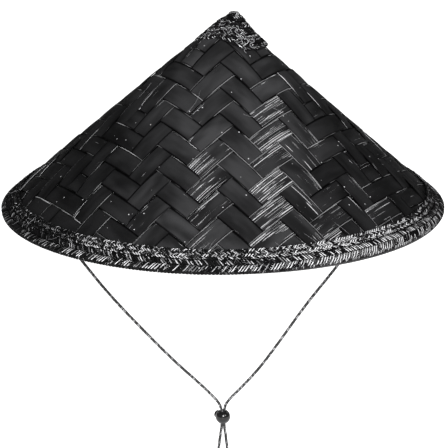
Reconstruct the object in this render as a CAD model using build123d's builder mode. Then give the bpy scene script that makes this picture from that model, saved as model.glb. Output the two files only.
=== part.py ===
from build123d import *
import os
from math import acos, cos, degrees, pi, radians, sin, tan

# A woven bamboo conical hat with a plaited brim, a plaited peak cap, a head ring and a chin cord.
# Millimetres. +Z is up, -Y is the front, and the origin is the middle of the head ring.

# ---- driving dimensions -------------------------------------------------------------------
BRIM_RADIUS = 210.0        # outermost radius, over the bound edge
SLOPE = degrees(acos(0.75))  # three quarters of a flat mat close into a cone of this slope
LAYER = 1.0                # thickness of one layer of splints; the wall is two layers
FAMILIES = 3               # families of splints, each outermost on one third of the cone

BINDING_RADIUS = 2.2       # rolled edge, over the hoop
HOOP_RADIUS = 1.4          # cane hoop inside the rolled edge
BRAID_WIDTH = 6.6          # brim plaits, measured up the slope
BRAID_HEIGHT = 2.4
BRAID_GAP = 0.2
CROWN_FACETS = 8           # straight facets across the crown of a plait or of the hoop under the brim
UNDER_HOOP_START = 1.5     # half-round hoop under the brim, from the wall's lower edge
UNDER_HOOP_WIDTH = 6.4
UNDER_HOOP_HEIGHT = 2.6
UNDER_BRAID_START = 10.0
UNDER_BRAID_HEIGHT = 2.0
LASHING = 0.6              # thickness of the strips that tie the hoop under the brim
LASHING_ANGLE = 2.4        # degrees of the circle that each strip covers
LASHING_COUNT = 36

CAP_RADIUS = 32.0          # lower edge of the peak cap
CAP_EDGE_HEIGHT = 2.2      # how far the cap's lowest row stands out from the weave
CAP_TOP_HEIGHT = 4.4       # how far the cap stands out beside the tip
CAP_ROWS = 4
TIP_RADIUS = 6.0
TIP_TOP = 2.2              # tip's flat top above the weave's own point
TIP_ROUNDING = 1.0

RING_INNER_RADIUS = 92.0   # head opening, 578 mm round
RING_HEIGHT = 28.0
RING_SPLINT = 1.2          # thickness of each hoop of the ring
HANGER = 0.8               # thickness of the tabs between the hoops
HANGER_ANGLE = 8.0
HANGER_COUNT = 6

CORD_RADIUS = 1.3
KNOT_RADIUS = 3.4
KNOT_FLAT = 2.6            # from a knot's middle to the flat that the cord leaves by
LEFT_ANCHOR_INSET = 27.0   # from the brim's edge in to where each leg of cord starts
RIGHT_ANCHOR_INSET = 40.5
LEFT_ANCHOR_RISE = 11.0    # and that place above the brim's plane
RIGHT_ANCHOR_RISE = 23.0

LOCK_RADIUS = 7.3
LOCK_DROP = 217.5          # from the brim's plane down to the ball's middle
MOUTH_RUN = 10.0           # length of cord that runs straight down from above the hole to its middle
BUTTON_RADIUS = 4.0
BUTTON_CLEARANCE = 0.05
BUTTON_OUT = 9.6           # outer end of the button, from the ball's middle
BUTTON_IN = 2.6            # inner end of the button, from the ball's middle
BUTTON_ROUNDING = 1.0
BUTTON_TRAVEL = 1.6
BORE_DEPTH = 5.0
BUTTON_AXIS = Vector(-0.62, 0.785, 0).normalized()
SPRING_RADIUS = 2.4
SPRING_WIRE = 0.2
SPRING_TURNS = 2.5
CORD_GAP = 0.2             # between the two cords, inside the hole
HOLE_CLEARANCE = 0.35      # between the cords and the hole's wall
MOUTH_START = 3.8          # the hole flares from here out to the ball's surface
MOUTH_FLARE = 25.0         # degrees

# ---- values that follow from them ------------------------------------------------------------
RISE = sin(radians(SLOPE))
RUN = cos(radians(SLOPE))
WALL = 2 * LAYER
WALL_RADIUS = BRIM_RADIUS - BINDING_RADIUS * (1 + RUN) + LAYER * RISE


def inside_height(radius: float) -> float:
    """Height of the cone's inner face above the wall's lower edge, at a radius."""
    return (WALL_RADIUS - radius) * tan(radians(SLOPE)) - WALL / RUN


WALL_Z = RING_HEIGHT / 2 - inside_height(RING_INNER_RADIUS)
RIM_Z = WALL_Z - BINDING_RADIUS * RISE - LAYER * RUN
LOCK_CENTRE = Vector(0, 0, RIM_Z - LOCK_DROP)


def rim_plane(azimuth: float) -> Plane:
    """Plane through the axis at an azimuth: x runs up the slope, y is the way out of the weave."""
    out = Vector(1, 0, 0).rotate(Axis.Z, azimuth)
    corner = out * WALL_RADIUS + Vector(0, 0, WALL_Z)
    return Plane(origin=corner, x_dir=out * -RUN + Vector(0, 0, RISE), z_dir=out.rotate(Axis.Z, 90))


RIM = rim_plane(0)


def to_axis(depth: float) -> float:
    """Distance up the slope at which a line at this depth under the outer face meets the axis."""
    return (WALL_RADIUS - depth * RISE) / RUN


def up_slope(radius: float) -> float:
    """Distance up the slope at which the weave's outer face has this radius."""
    return (WALL_RADIUS - radius) / RUN


def finish(piece: BuildPart, name: str) -> None:
    """Label a piece and write it out."""
    piece.part.label = name
    export_step(piece.part, f"parts/{name}.step")


os.makedirs("parts", exist_ok=True)

# ---- the woven cone -------------------------------------------------------------------------
# Each family of splints lies outermost on one third of the cone and under its neighbour on the next.
SECTOR = 360 / FAMILIES
FRONT = -90 - SECTOR / 2


def splint_family(index: int) -> BuildPart:
    """One family of splints: a third of the outer layer, and the next third of the inner layer."""
    with BuildPart() as family:
        for layer in range(2):
            start = FRONT + (index + layer) * SECTOR
            outer = layer * LAYER
            inner = outer + LAYER
            with BuildSketch(rim_plane(start)):
                with BuildLine():
                    Polyline(
                        (0, -outer),
                        (to_axis(outer), -outer),
                        (to_axis(inner), -inner),
                        (0, -inner),
                        close=True,
                    )
                make_face()
            revolve(axis=Axis.Z, revolution_arc=SECTOR)
    return family


for index, name in enumerate(["front_right_splints", "back_splints", "front_left_splints"]):
    finish(splint_family(index), name)


# ---- plaited rows and the rolled edge ----------------------------------------------------------
def crown(start: float, width: float, base: float, height: float) -> list:
    """Corners of a section crowned by height (down if negative) over a flat base."""
    return [
        (start + width * facet / CROWN_FACETS, base + height * (1 - (2 * facet / CROWN_FACETS - 1) ** 2))
        for facet in range(CROWN_FACETS + 1)
    ]


def plait_row(start: float, width: float, base: float, height: float) -> BuildPart:
    """A plaited row round the hat, crowned by height (down if negative) over its flat base."""
    with BuildPart() as row:
        with BuildSketch(RIM):
            with BuildLine():
                Polyline(*crown(start, width, base, height), close=True)
            make_face()
        revolve(axis=Axis.Z)
    return row


for index, name in enumerate(["lower_brim_braid", "middle_brim_braid", "upper_brim_braid"]):
    finish(plait_row(index * (BRAID_WIDTH + BRAID_GAP), BRAID_WIDTH, 0, BRAID_HEIGHT), name)

finish(plait_row(UNDER_HOOP_START, UNDER_HOOP_WIDTH, -WALL, -UNDER_HOOP_HEIGHT), "inner_rim_hoop")
finish(plait_row(UNDER_BRAID_START, BRAID_WIDTH, -WALL, -UNDER_BRAID_HEIGHT), "inner_edge_braid")

with BuildPart() as rim_hoop:
    with BuildSketch(RIM):
        with Locations((-BINDING_RADIUS, -LAYER)):
            Circle(HOOP_RADIUS)
    revolve(axis=Axis.Z)
finish(rim_hoop, "rim_hoop")

with BuildPart() as rim_binding:
    with BuildSketch(RIM):
        with Locations((-BINDING_RADIUS, -LAYER)):
            Circle(BINDING_RADIUS)
            Circle(HOOP_RADIUS, mode=Mode.SUBTRACT)
    revolve(axis=Axis.Z)
finish(rim_binding, "rim_binding")

with BuildPart() as inner_rim_lashings:
    over_hoop = crown(UNDER_HOOP_START, UNDER_HOOP_WIDTH, -WALL, -UNDER_HOOP_HEIGHT)
    outside = crown(
        UNDER_HOOP_START - LASHING, UNDER_HOOP_WIDTH + 2 * LASHING, -WALL, -UNDER_HOOP_HEIGHT - LASHING
    )
    for turn in range(LASHING_COUNT):
        with BuildSketch(rim_plane(turn * 360 / LASHING_COUNT)):
            with BuildLine():
                Polyline(*over_hoop, *reversed(outside), close=True)
            make_face()
        revolve(axis=Axis.Z, revolution_arc=LASHING_ANGLE)
finish(inner_rim_lashings, "inner_rim_lashings")

# ---- peak cap ---------------------------------------------------------------------------------
CAP_START = up_slope(CAP_RADIUS)
CAP_BODY = CAP_START + BRAID_WIDTH + BRAID_GAP
CAP_END = up_slope(TIP_RADIUS)
CAP_PITCH = (CAP_END - CAP_BODY) / CAP_ROWS
finish(plait_row(CAP_START, BRAID_WIDTH, 0, CAP_EDGE_HEIGHT), "peak_edge_braid")

with BuildPart() as peak_cap_braid:
    with BuildSketch(RIM):
        with BuildLine():
            foot = (CAP_BODY, 0)
            for row in range(CAP_ROWS):
                crown = CAP_EDGE_HEIGHT + (CAP_TOP_HEIGHT - CAP_EDGE_HEIGHT) * (row + 1) / CAP_ROWS
                valley = crown - BRAID_HEIGHT / 3 if row < CAP_ROWS - 1 else 0
                middle = (CAP_BODY + (row + 0.5) * CAP_PITCH, crown)
                next_foot = (CAP_BODY + (row + 1) * CAP_PITCH, valley)
                ThreePointArc(foot, middle, next_foot)
                foot = next_foot
            Line(foot, (CAP_BODY, 0))
        make_face()
    revolve(axis=Axis.Z)
finish(peak_cap_braid, "peak_cap_braid")

WEAVE_POINT = WALL_Z + WALL_RADIUS * tan(radians(SLOPE))
TIP_FOOT = WEAVE_POINT - TIP_RADIUS * tan(radians(SLOPE))
with BuildPart() as peak_tip_knot:
    with BuildSketch(Plane.XZ):
        with BuildLine():
            Polyline(
                (0, WEAVE_POINT),
                (TIP_RADIUS, TIP_FOOT),
                (TIP_RADIUS, WEAVE_POINT + TIP_TOP),
                (0, WEAVE_POINT + TIP_TOP),
                close=True,
            )
        make_face()
    revolve(axis=Axis.Z)
    fillet(peak_tip_knot.edges().group_by(Axis.Z)[-1], TIP_ROUNDING)
finish(peak_tip_knot, "peak_tip_knot")


# ---- head ring --------------------------------------------------------------------------------
def ring_bands(inner: float, thickness: float, arc: float, count: int) -> BuildPart:
    """Upright bands round the head opening, whose tops rest on the cone's inner face."""
    outer = inner + thickness
    with BuildPart() as bands:
        for turn in range(count):
            with BuildSketch(Plane.XZ.rotated((0, 0, turn * 360 / count))):
                with BuildLine():
                    Polyline(
                        (inner, -RING_HEIGHT / 2),
                        (outer, -RING_HEIGHT / 2),
                        (outer, WALL_Z + inside_height(outer)),
                        (inner, WALL_Z + inside_height(inner)),
                        close=True,
                    )
                make_face()
            revolve(axis=Axis.Z, revolution_arc=arc)
    return bands


HANGER_RADIUS = RING_INNER_RADIUS + RING_SPLINT
OUTER_HOOP_RADIUS = HANGER_RADIUS + HANGER
finish(ring_bands(RING_INNER_RADIUS, RING_SPLINT, 360, 1), "head_ring_inner_hoop")
finish(ring_bands(OUTER_HOOP_RADIUS, RING_SPLINT, 360, 1), "head_ring_outer_hoop")
finish(ring_bands(HANGER_RADIUS, HANGER, HANGER_ANGLE, HANGER_COUNT), "head_ring_hangers")

# ---- cord lock --------------------------------------------------------------------------------
ACROSS = BUTTON_AXIS.rotate(Axis.Z, -90)
BUTTON_PLANE = Plane(origin=LOCK_CENTRE, x_dir=ACROSS, z_dir=BUTTON_AXIS)
HOLE_PLANE = Plane(origin=LOCK_CENTRE, x_dir=ACROSS, z_dir=(0, 0, 1))
HOLE_WIDTH = 2 * (CORD_RADIUS + HOLE_CLEARANCE)
CORD_OFFSET = CORD_RADIUS + CORD_GAP / 2
HOLE_LENGTH = HOLE_WIDTH + 2 * CORD_OFFSET

with BuildPart(Plane(origin=LOCK_CENTRE)) as cord_lock_body:
    Sphere(LOCK_RADIUS)
    with BuildSketch(BUTTON_PLANE.offset(-BORE_DEPTH)):
        Circle(BUTTON_RADIUS + BUTTON_CLEARANCE)
    extrude(amount=BORE_DEPTH + LOCK_RADIUS, mode=Mode.SUBTRACT)
    with BuildSketch(HOLE_PLANE):
        SlotOverall(HOLE_LENGTH, HOLE_WIDTH)
    extrude(amount=LOCK_RADIUS, both=True, mode=Mode.SUBTRACT)
    for mouth in (HOLE_PLANE, HOLE_PLANE.rotated((180, 0, 0))):
        with BuildSketch(mouth.offset(MOUTH_START)):
            SlotOverall(HOLE_LENGTH, HOLE_WIDTH)
        extrude(amount=LOCK_RADIUS - MOUTH_START, taper=-MOUTH_FLARE, mode=Mode.SUBTRACT)
finish(cord_lock_body, "cord_lock_body")

with BuildPart() as cord_lock_button:
    with BuildSketch(BUTTON_PLANE.offset(-BUTTON_IN)):
        Circle(BUTTON_RADIUS)
    extrude(amount=BUTTON_IN + BUTTON_OUT)
    fillet(cord_lock_button.edges().sort_by(Axis(LOCK_CENTRE, BUTTON_AXIS))[-1], BUTTON_ROUNDING)
    with BuildSketch(HOLE_PLANE):
        with Locations((0, BUTTON_TRAVEL / 2)):
            RectangleRounded(HOLE_LENGTH, HOLE_WIDTH + BUTTON_TRAVEL, CORD_RADIUS)
    extrude(amount=BUTTON_RADIUS, both=True, mode=Mode.SUBTRACT)
finish(cord_lock_button, "cord_lock_button")

with BuildPart() as cord_lock_spring:
    spring_length = BORE_DEPTH - BUTTON_IN - 2 * SPRING_WIRE
    spring_foot = LOCK_CENTRE - BUTTON_AXIS * (BORE_DEPTH - SPRING_WIRE)
    with BuildLine():
        coil = Helix(
            pitch=spring_length / SPRING_TURNS,
            height=spring_length,
            radius=SPRING_RADIUS,
            center=spring_foot,
            direction=BUTTON_AXIS,
        )
    with BuildSketch(Plane(origin=coil @ 0, z_dir=coil % 0)):
        Circle(SPRING_WIRE)
    sweep(path=coil, is_frenet=True)
finish(cord_lock_spring, "cord_lock_spring")

# ---- chin cord --------------------------------------------------------------------------------
# Points of each run of cord between its ends, from the top down, from the brim's plane.
LEFT_LEG = [
    (-160.3, 0, -22.5),
    (-135.3, 0, -57.0),
    (-112.1, 0, -88.0),
    (-86.3, 0, -117.7),
    (-49.0, 0, -158.0),
    (-22.5, 0, -183.0),
    (-7.4, -0.4, -198.2),
]
RIGHT_LEG = [
    (143.0, 0, -14.0),
    (112.0, 0, -59.5),
    (80.5, 0, -100.5),
    (54.4, 0, -140.0),
    (35.6, 0, -167.0),
    (16.6, 0, -188.5),
    (6.0, 0.4, -199.6),
]
LEFT_TAIL = [
    (-2.4, -1.0, -235.5),
    (-3.5, -0.6, -244.0),
    (-4.3, 0.2, -252.5),
]
RIGHT_TAIL = [
    (2.5, 0.9, -235.0),
    (3.2, 0.4, -243.0),
    (4.2, -0.1, -250.5),
]
LEFT_ANCHOR = Vector(LEFT_ANCHOR_INSET - BRIM_RADIUS, 0, RIM_Z + LEFT_ANCHOR_RISE)
RIGHT_ANCHOR = Vector(BRIM_RADIUS - RIGHT_ANCHOR_INSET, 0, RIM_Z + RIGHT_ANCHOR_RISE)


def in_frame(route: list) -> list:
    """A route's points in the hat's frame."""
    return [Vector(x, y, z + RIM_Z) for x, y, z in route]


def corner_radii(points: list) -> list:
    """Radius of the arc at each inner point, as large as its two runs allow."""
    radii = []
    for before, corner, after in zip(points, points[1:], points[2:]):
        first = corner - before
        second = after - corner
        half_turn = radians(first.get_angle(second) / 2)
        radii.append(0.45 * min(first.length, second.length) / tan(half_turn))
    return radii


def cord_tube(points: list, name: str) -> None:
    """A round cord along straight runs and tangent arcs through its points."""
    radii = corner_radii(points)
    with BuildPart() as tube:
        with BuildLine():
            path = FilletPolyline(*points, radius=radii)
        with BuildSketch(Plane(origin=path @ 0, z_dir=path % 0)):
            Circle(CORD_RADIUS)
        sweep(path=path)
    section = pi * CORD_RADIUS**2
    print(name, "length", round(path.length, 1), "radii", [round(r, 1) for r in radii])
    print(name, "volume over section times length", round(tube.part.volume / (section * path.length), 4))
    finish(tube, name)


def end_knot(cord_end: Vector, before: Vector) -> BuildPart:
    """A knot on the end of a cord, with a flat where the cord comes in from the point before."""
    cord_direction = (before - cord_end).normalized()
    with BuildPart(Plane(origin=cord_end - cord_direction * KNOT_FLAT)) as knot:
        Sphere(KNOT_RADIUS)
        split(bisect_by=Plane(origin=cord_end, z_dir=cord_direction), keep=Keep.BOTTOM)
    return knot


def anchor_knot(cord_end: Vector, before: Vector) -> BuildPart:
    """An end knot pulled up against the inner face of the weave."""
    with BuildPart() as knot:
        add(end_knot(cord_end, before).part)
        with BuildSketch(Plane.XZ):
            with BuildLine():
                Polyline(
                    (0, WALL_Z),
                    (WALL_RADIUS - WALL / RISE, WALL_Z),
                    (0, WALL_Z + inside_height(0)),
                    close=True,
                )
            make_face()
        revolve(axis=Axis.Z, mode=Mode.INTERSECT)
    return knot


for side, sign, anchor, leg, tail in [
    ("left", -1, LEFT_ANCHOR, LEFT_LEG, LEFT_TAIL),
    ("right", 1, RIGHT_ANCHOR, RIGHT_LEG, RIGHT_TAIL),
]:
    in_hole = LOCK_CENTRE + ACROSS * (sign * CORD_OFFSET)
    leg_points = [anchor, *in_frame(leg), in_hole + Vector(0, 0, MOUTH_RUN), in_hole]
    tail_points = [in_hole, in_hole - Vector(0, 0, MOUTH_RUN), *in_frame(tail)]
    cord_tube(leg_points, f"{side}_leg_cord")
    cord_tube(tail_points, f"{side}_tail_cord")
    finish(anchor_knot(anchor, leg_points[1]), f"{side}_anchor_knot")
    finish(end_knot(tail_points[-1], tail_points[-2]), f"{side}_end_knot")
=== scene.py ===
"""A black-stained conical hat of woven bamboo, with plaited edges and a chin cord on a ball lock."""

import logging
import math
from dataclasses import dataclass, field
from enum import Enum

import bpy
import numpy as np
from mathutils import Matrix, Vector


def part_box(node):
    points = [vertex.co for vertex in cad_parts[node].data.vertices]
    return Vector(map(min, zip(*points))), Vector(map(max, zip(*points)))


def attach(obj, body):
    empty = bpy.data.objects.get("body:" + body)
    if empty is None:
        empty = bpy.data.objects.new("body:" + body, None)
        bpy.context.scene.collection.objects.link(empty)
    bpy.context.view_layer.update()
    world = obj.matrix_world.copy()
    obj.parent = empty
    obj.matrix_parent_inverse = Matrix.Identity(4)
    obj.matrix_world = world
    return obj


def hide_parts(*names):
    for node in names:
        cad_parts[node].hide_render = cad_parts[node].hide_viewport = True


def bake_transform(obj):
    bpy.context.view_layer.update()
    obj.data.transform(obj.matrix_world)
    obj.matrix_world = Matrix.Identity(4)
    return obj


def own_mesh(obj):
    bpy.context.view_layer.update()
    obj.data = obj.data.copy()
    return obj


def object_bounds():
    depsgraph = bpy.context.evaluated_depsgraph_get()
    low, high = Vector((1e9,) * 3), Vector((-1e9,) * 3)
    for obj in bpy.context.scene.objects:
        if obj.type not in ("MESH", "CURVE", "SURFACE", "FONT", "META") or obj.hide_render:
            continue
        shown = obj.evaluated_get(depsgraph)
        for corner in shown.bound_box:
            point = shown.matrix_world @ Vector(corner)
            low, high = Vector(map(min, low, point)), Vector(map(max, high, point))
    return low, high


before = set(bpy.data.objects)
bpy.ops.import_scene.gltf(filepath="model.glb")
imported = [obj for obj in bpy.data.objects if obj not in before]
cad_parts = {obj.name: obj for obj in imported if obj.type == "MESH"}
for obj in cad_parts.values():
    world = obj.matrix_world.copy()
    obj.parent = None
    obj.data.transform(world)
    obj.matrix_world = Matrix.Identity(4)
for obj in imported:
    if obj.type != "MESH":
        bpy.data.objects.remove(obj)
CAD_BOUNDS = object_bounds()
LOG = logging.getLogger("hat")
MM = 0.001


# ---- small mesh tools ---------------------------------------------------------------------------
def unit(rows: np.ndarray) -> np.ndarray:
    """Scale each row to length one."""
    return rows / np.maximum(np.linalg.norm(rows, axis=-1, keepdims=True), 1e-12)


def smooth(low: float, high: float, value: np.ndarray) -> np.ndarray:
    """Ease from 0 at low to 1 at high."""
    t = np.clip((value - low) / (high - low), 0.0, 1.0)
    return t * t * (3.0 - 2.0 * t)


def wander(rng: np.random.RandomState, count: int, step: int) -> np.ndarray:
    """A smooth random line of count samples from -1 to 1, with a fresh value each step samples."""
    knots = rng.uniform(-1.0, 1.0, count // step + 3)
    place = np.arange(count) / step
    left = place.astype(int)
    part = place - left
    part = part * part * (3.0 - 2.0 * part)
    return knots[left] * (1.0 - part) + knots[left + 1] * part


@dataclass
class MeshMaker:
    """Gathers grids of points into one mesh, with a UV map and named values on its points.

    Attributes:
        count: points so far.
        vertices: blocks of points.
        faces: corner numbers of each four-sided face.
        uvs: blocks of one UV pair for each point.
        values: blocks of each named value, one number for each point.
    """

    vertices: list = field(default_factory=list)
    faces: list = field(default_factory=list)
    uvs: list = field(default_factory=list)
    values: dict = field(default_factory=dict)
    count: int = 0

    def grid(self, points: np.ndarray, uv: np.ndarray, closed_along: bool, **values: np.ndarray) -> None:
        """Add a sleeve: rows of points along a strand, each row a closed ring round it.

        Args:
            points: samples by ring size by 3.
            uv: samples by ring size by 2.
            closed_along: whether the last row joins the first.
            values: named numbers, samples by ring size.
        """
        rows, ring = points.shape[:2]
        index = np.arange(rows * ring).reshape(rows, ring) + self.count
        around = np.roll(index, -1, axis=1)
        if closed_along:
            first, second = index, np.roll(index, -1, axis=0)
            first_next, second_next = around, np.roll(around, -1, axis=0)
        else:
            first, second = index[:-1], index[1:]
            first_next, second_next = around[:-1], around[1:]
            self.faces.append(list(index[0][::-1]))
            self.faces.append(list(index[-1]))
        quads = np.stack([first, first_next, second_next, second], axis=-1).reshape(-1, 4)
        self.faces.extend(quads.tolist())
        self.vertices.append(points.reshape(-1, 3))
        self.uvs.append(uv.reshape(-1, 2))
        for name, number in values.items():
            self.values.setdefault(name, []).append(np.asarray(number).reshape(-1))
        self.count += rows * ring

    def build(self, name: str) -> bpy.types.Object:
        """Make the object.

        Args:
            name: name of the new piece.

        Returns:
            The mesh object, smooth shaded, linked to the scene.
        """
        mesh = bpy.data.meshes.new(name)
        mesh.from_pydata(np.concatenate(self.vertices).tolist(), [], self.faces)
        mesh.update()
        uv = np.concatenate(self.uvs)
        loops = np.zeros(len(mesh.loops), np.int32)
        mesh.loops.foreach_get("vertex_index", loops)
        layer = mesh.uv_layers.new(name="UVMap")
        layer.data.foreach_set("uv", uv[loops].astype(np.float32).ravel())
        for key, blocks in self.values.items():
            attribute = mesh.attributes.new(key, "FLOAT", "POINT")
            attribute.data.foreach_set("value", np.concatenate(blocks).astype(np.float32))
        mesh.polygons.foreach_set("use_smooth", np.ones(len(mesh.polygons), bool))
        piece = bpy.data.objects.new(name, mesh)
        bpy.context.scene.collection.objects.link(piece)
        return piece


def oval_ring(half_width: float, half_thickness: float, corners: int) -> np.ndarray:
    """Points of a strip's section, flattened like a splint: across, then out of its face."""
    angle = (np.arange(corners) + 0.5) * 2 * math.pi / corners
    across = np.sign(np.cos(angle)) * np.abs(np.cos(angle)) ** 0.6
    out = np.sign(np.sin(angle)) * np.abs(np.sin(angle)) ** 0.8
    return np.stack([across * half_width, out * half_thickness], axis=-1)


def round_along(maker: MeshMaker, path: np.ndarray, radius: np.ndarray, corners: int, closed: bool) -> None:
    """Sweep a round section along a path, turning it no more than the path does.

    Args:
        maker: mesh that takes the tube.
        path: points along the tube.
        radius: radius at each point and corner, samples by corners.
        corners: points in each ring.
        closed: whether the tube is a loop.
    """
    if closed:
        travel = unit(np.roll(path, -1, axis=0) - np.roll(path, 1, axis=0))
    else:
        travel = unit(np.gradient(path, axis=0))
    side = np.zeros_like(path)
    start = np.array([0.0, 1.0, 0.0]) if abs(travel[0, 1]) < 0.9 else np.array([1.0, 0.0, 0.0])
    side[0] = unit(start - travel[0] * (start @ travel[0]))
    for index in range(1, len(path)):
        carried = side[index - 1] - travel[index] * (side[index - 1] @ travel[index])
        side[index] = unit(carried)
    up = np.cross(travel, side)
    angle = np.arange(corners) * 2 * math.pi / corners
    if closed:
        end = side[-1] - travel[0] * (side[-1] @ travel[0])
        twist = math.atan2(float(unit(end) @ up[0]), float(unit(end) @ side[0]))
        turn = -twist * np.arange(len(path)) / len(path)
    else:
        turn = np.zeros(len(path))
    whole = angle[None, :] + turn[:, None]
    points = path[:, None, :] + radius[:, :, None] * (
        side[:, None, :] * np.cos(whole)[:, :, None] + up[:, None, :] * np.sin(whole)[:, :, None]
    )
    along = np.cumsum(np.linalg.norm(np.diff(path, axis=0, prepend=path[:1]), axis=1))
    uv = np.stack(
        [np.repeat(along[:, None], corners, axis=1), np.repeat(angle[None, :], len(path), axis=0)], axis=-1
    )
    maker.grid(points, uv, closed)


# ---- shader effects -----------------------------------------------------------------------------
class Graph:
    """A short way to fill a node tree."""

    def __init__(self, tree: bpy.types.NodeTree) -> None:
        """Keep the tree that the nodes go into."""
        self.tree = tree

    def add(self, kind: str, inputs: dict | None = None, **settings: object) -> bpy.types.Node:
        """Add a node.

        Args:
            kind: Blender's name of the node type.
            inputs: value or output socket for each input, by name or number.
            settings: properties of the node.

        Returns:
            The new node.
        """
        node = self.tree.nodes.new(kind)
        for name, value in settings.items():
            setattr(node, name, value)
        for name, value in (inputs or {}).items():
            socket = node.inputs[name]
            if isinstance(value, bpy.types.NodeSocket):
                self.tree.links.new(value, socket)
            else:
                socket.default_value = value
        return node

    def math(self, operation: str, first: object, second: object = 0.0) -> bpy.types.NodeSocket:
        """Return the result of one arithmetic step."""
        return self.add("ShaderNodeMath", {0: first, 1: second}, operation=operation).outputs[0]

    def times(self, first: object, second: object) -> bpy.types.NodeSocket:
        """Return the product of two values."""
        return self.math("MULTIPLY", first, second)

    def plus(self, first: object, second: object) -> bpy.types.NodeSocket:
        """Return the sum of two values."""
        return self.math("ADD", first, second)

    def link(self, source: bpy.types.NodeSocket, target: bpy.types.NodeSocket) -> None:
        """Lead one socket's value to another."""
        self.tree.links.new(source, target)

    def ease(self, value: object, low: object, high: object) -> bpy.types.NodeSocket:
        """Return a value eased from 0 at low to 1 at high."""
        node = self.add("ShaderNodeMapRange", {0: value, 1: low, 2: high}, interpolation_type="SMOOTHSTEP")
        return node.outputs[0]

    def mix(self, share: object, first: object, second: object) -> bpy.types.NodeSocket:
        """Return a colour between two others."""
        node = self.add("ShaderNodeMix", data_type="RGBA")
        for socket, value in ((0, share), (6, first), (7, second)):
            if isinstance(value, bpy.types.NodeSocket):
                self.tree.links.new(value, node.inputs[socket])
            else:
                node.inputs[socket].default_value = value
        return node.outputs[2]


@dataclass(frozen=True)
class Effects:
    """The node groups that several finishes share."""

    fibres: bpy.types.NodeTree
    specks: bpy.types.NodeTree


def new_group(name: str, inputs: dict[str, float], outputs: list[str]) -> tuple[Graph, dict, bpy.types.Node]:
    """Start a node group.

    Args:
        name: name of the group.
        inputs: default of each number input; a name ending in "vector" makes a vector input.
        outputs: names of the number outputs.

    Returns:
        Its graph, its input sockets by name and its output node.
    """
    tree = bpy.data.node_groups.new(name, "ShaderNodeTree")
    for key, value in inputs.items():
        kind = "NodeSocketVector" if key.endswith("vector") else "NodeSocketFloat"
        socket = tree.interface.new_socket(key, in_out="INPUT", socket_type=kind)
        if kind == "NodeSocketFloat":
            socket.default_value = value
    for key in outputs:
        tree.interface.new_socket(key, in_out="OUTPUT", socket_type="NodeSocketFloat")
    graph = Graph(tree)
    source = graph.add("NodeGroupInput")
    return graph, {key: source.outputs[key] for key in inputs}, graph.add("NodeGroupOutput")


def fibre_group() -> bpy.types.NodeTree:
    """Build the effect of bamboo fibres: long pale split fibres, fine grain and a slow change of tone. The
    pale fibres are partly bare fibre and partly painted glint, with more of them along the strip's upper side
    as painted highlight.

    Returns:
        The node group. Its Place vector is metres along and across a strip, then the strip's seed.
    """
    graph, into, out = new_group(
        "bamboo fibres",
        {"Place vector": 0.0, "Split": 0.3, "Width": 0.1, "Half": 1.0},
        ["Streak", "Grain", "Tone"],
    )

    def noise(along: float, across: float, seed: float, detail: float) -> bpy.types.NodeSocket:
        """Noise stretched along the strip."""
        scale = (along, across, seed)
        place = graph.add("ShaderNodeVectorMath", {0: into["Place vector"], 1: scale}, operation="MULTIPLY")
        inputs = {"Vector": place.outputs[0], "Scale": 1.0, "Detail": detail}
        return graph.add("ShaderNodeTexNoise", inputs).outputs[0]

    def comb(cells: float, salt: float, level: bpy.types.NodeSocket) -> bpy.types.NodeSocket:
        """Thin lines, one to a cell across the strip, each of them bare for random lengths."""
        parts = graph.add("ShaderNodeSeparateXYZ", {0: into["Place vector"]})
        bend = graph.times(noise(9.0, 40.0, salt, 0.0), 2.2)
        row = graph.plus(graph.times(parts.outputs[1], cells), graph.plus(bend, salt))
        cell = graph.math("FLOOR", row)
        key = graph.add("ShaderNodeCombineXYZ", {0: cell, 1: parts.outputs[2], 2: salt})
        chance = graph.add("ShaderNodeTexWhiteNoise", {"Vector": key.outputs[0]}, noise_dimensions="3D")
        chance = graph.add("ShaderNodeSeparateColor", {0: chance.outputs["Color"]})
        middle = graph.plus(0.34, graph.times(chance.outputs[0], 0.32))
        away = graph.math("ABSOLUTE", graph.math("SUBTRACT", graph.math("FRACT", row), middle))
        run = graph.add(
            "ShaderNodeCombineXYZ",
            {0: graph.times(parts.outputs[0], 32.0), 1: graph.times(cell, 5.3), 2: parts.outputs[2]},
        )
        stretched = {"Vector": run.outputs[0], "Scale": 1.0, "Detail": 2.0}
        patchy = graph.add("ShaderNodeTexNoise", stretched).outputs[0]
        patchy = graph.plus(patchy, graph.times(chance.outputs[1], 0.16))
        start = graph.math("SUBTRACT", 0.86, graph.times(level, 0.46))
        bare = graph.ease(patchy, start, graph.plus(start, 0.07))
        half = graph.times(graph.times(bare, into["Width"]), graph.plus(0.6, chance.outputs[2]))
        return graph.times(bare, graph.ease(away, half, graph.times(half, 0.6)))

    patch = graph.ease(noise(24.0, 90.0, 11.3, 1.0), 0.20, 0.50)
    level = graph.times(patch, into["Split"])
    place = graph.add("ShaderNodeSeparateXYZ", {0: into["Place vector"]})
    # painted highlight: more pale fibre along the strip's upper side, which faces the light
    upper = graph.math("DIVIDE", place.outputs[1], into["Half"])
    upper = graph.times(graph.ease(upper, -0.45, -0.9), graph.ease(noise(16.0, 8.0, 5.9, 0.0), 0.50, 0.62))
    level = graph.plus(level, graph.times(upper, 0.5))
    # the pale lines stand for bare fibre and for painted glint on it
    streak = graph.math("MAXIMUM", comb(470.0, 3.7, level), graph.times(comb(720.0, 8.1, level), 0.5))
    outputs = {"Streak": streak, "Grain": noise(90.0, 4200.0, 7.9, 2.0), "Tone": noise(22.0, 60.0, 3.1, 2.0)}
    for key, socket in outputs.items():
        graph.link(socket, out.inputs[key])
    return graph.tree


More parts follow.
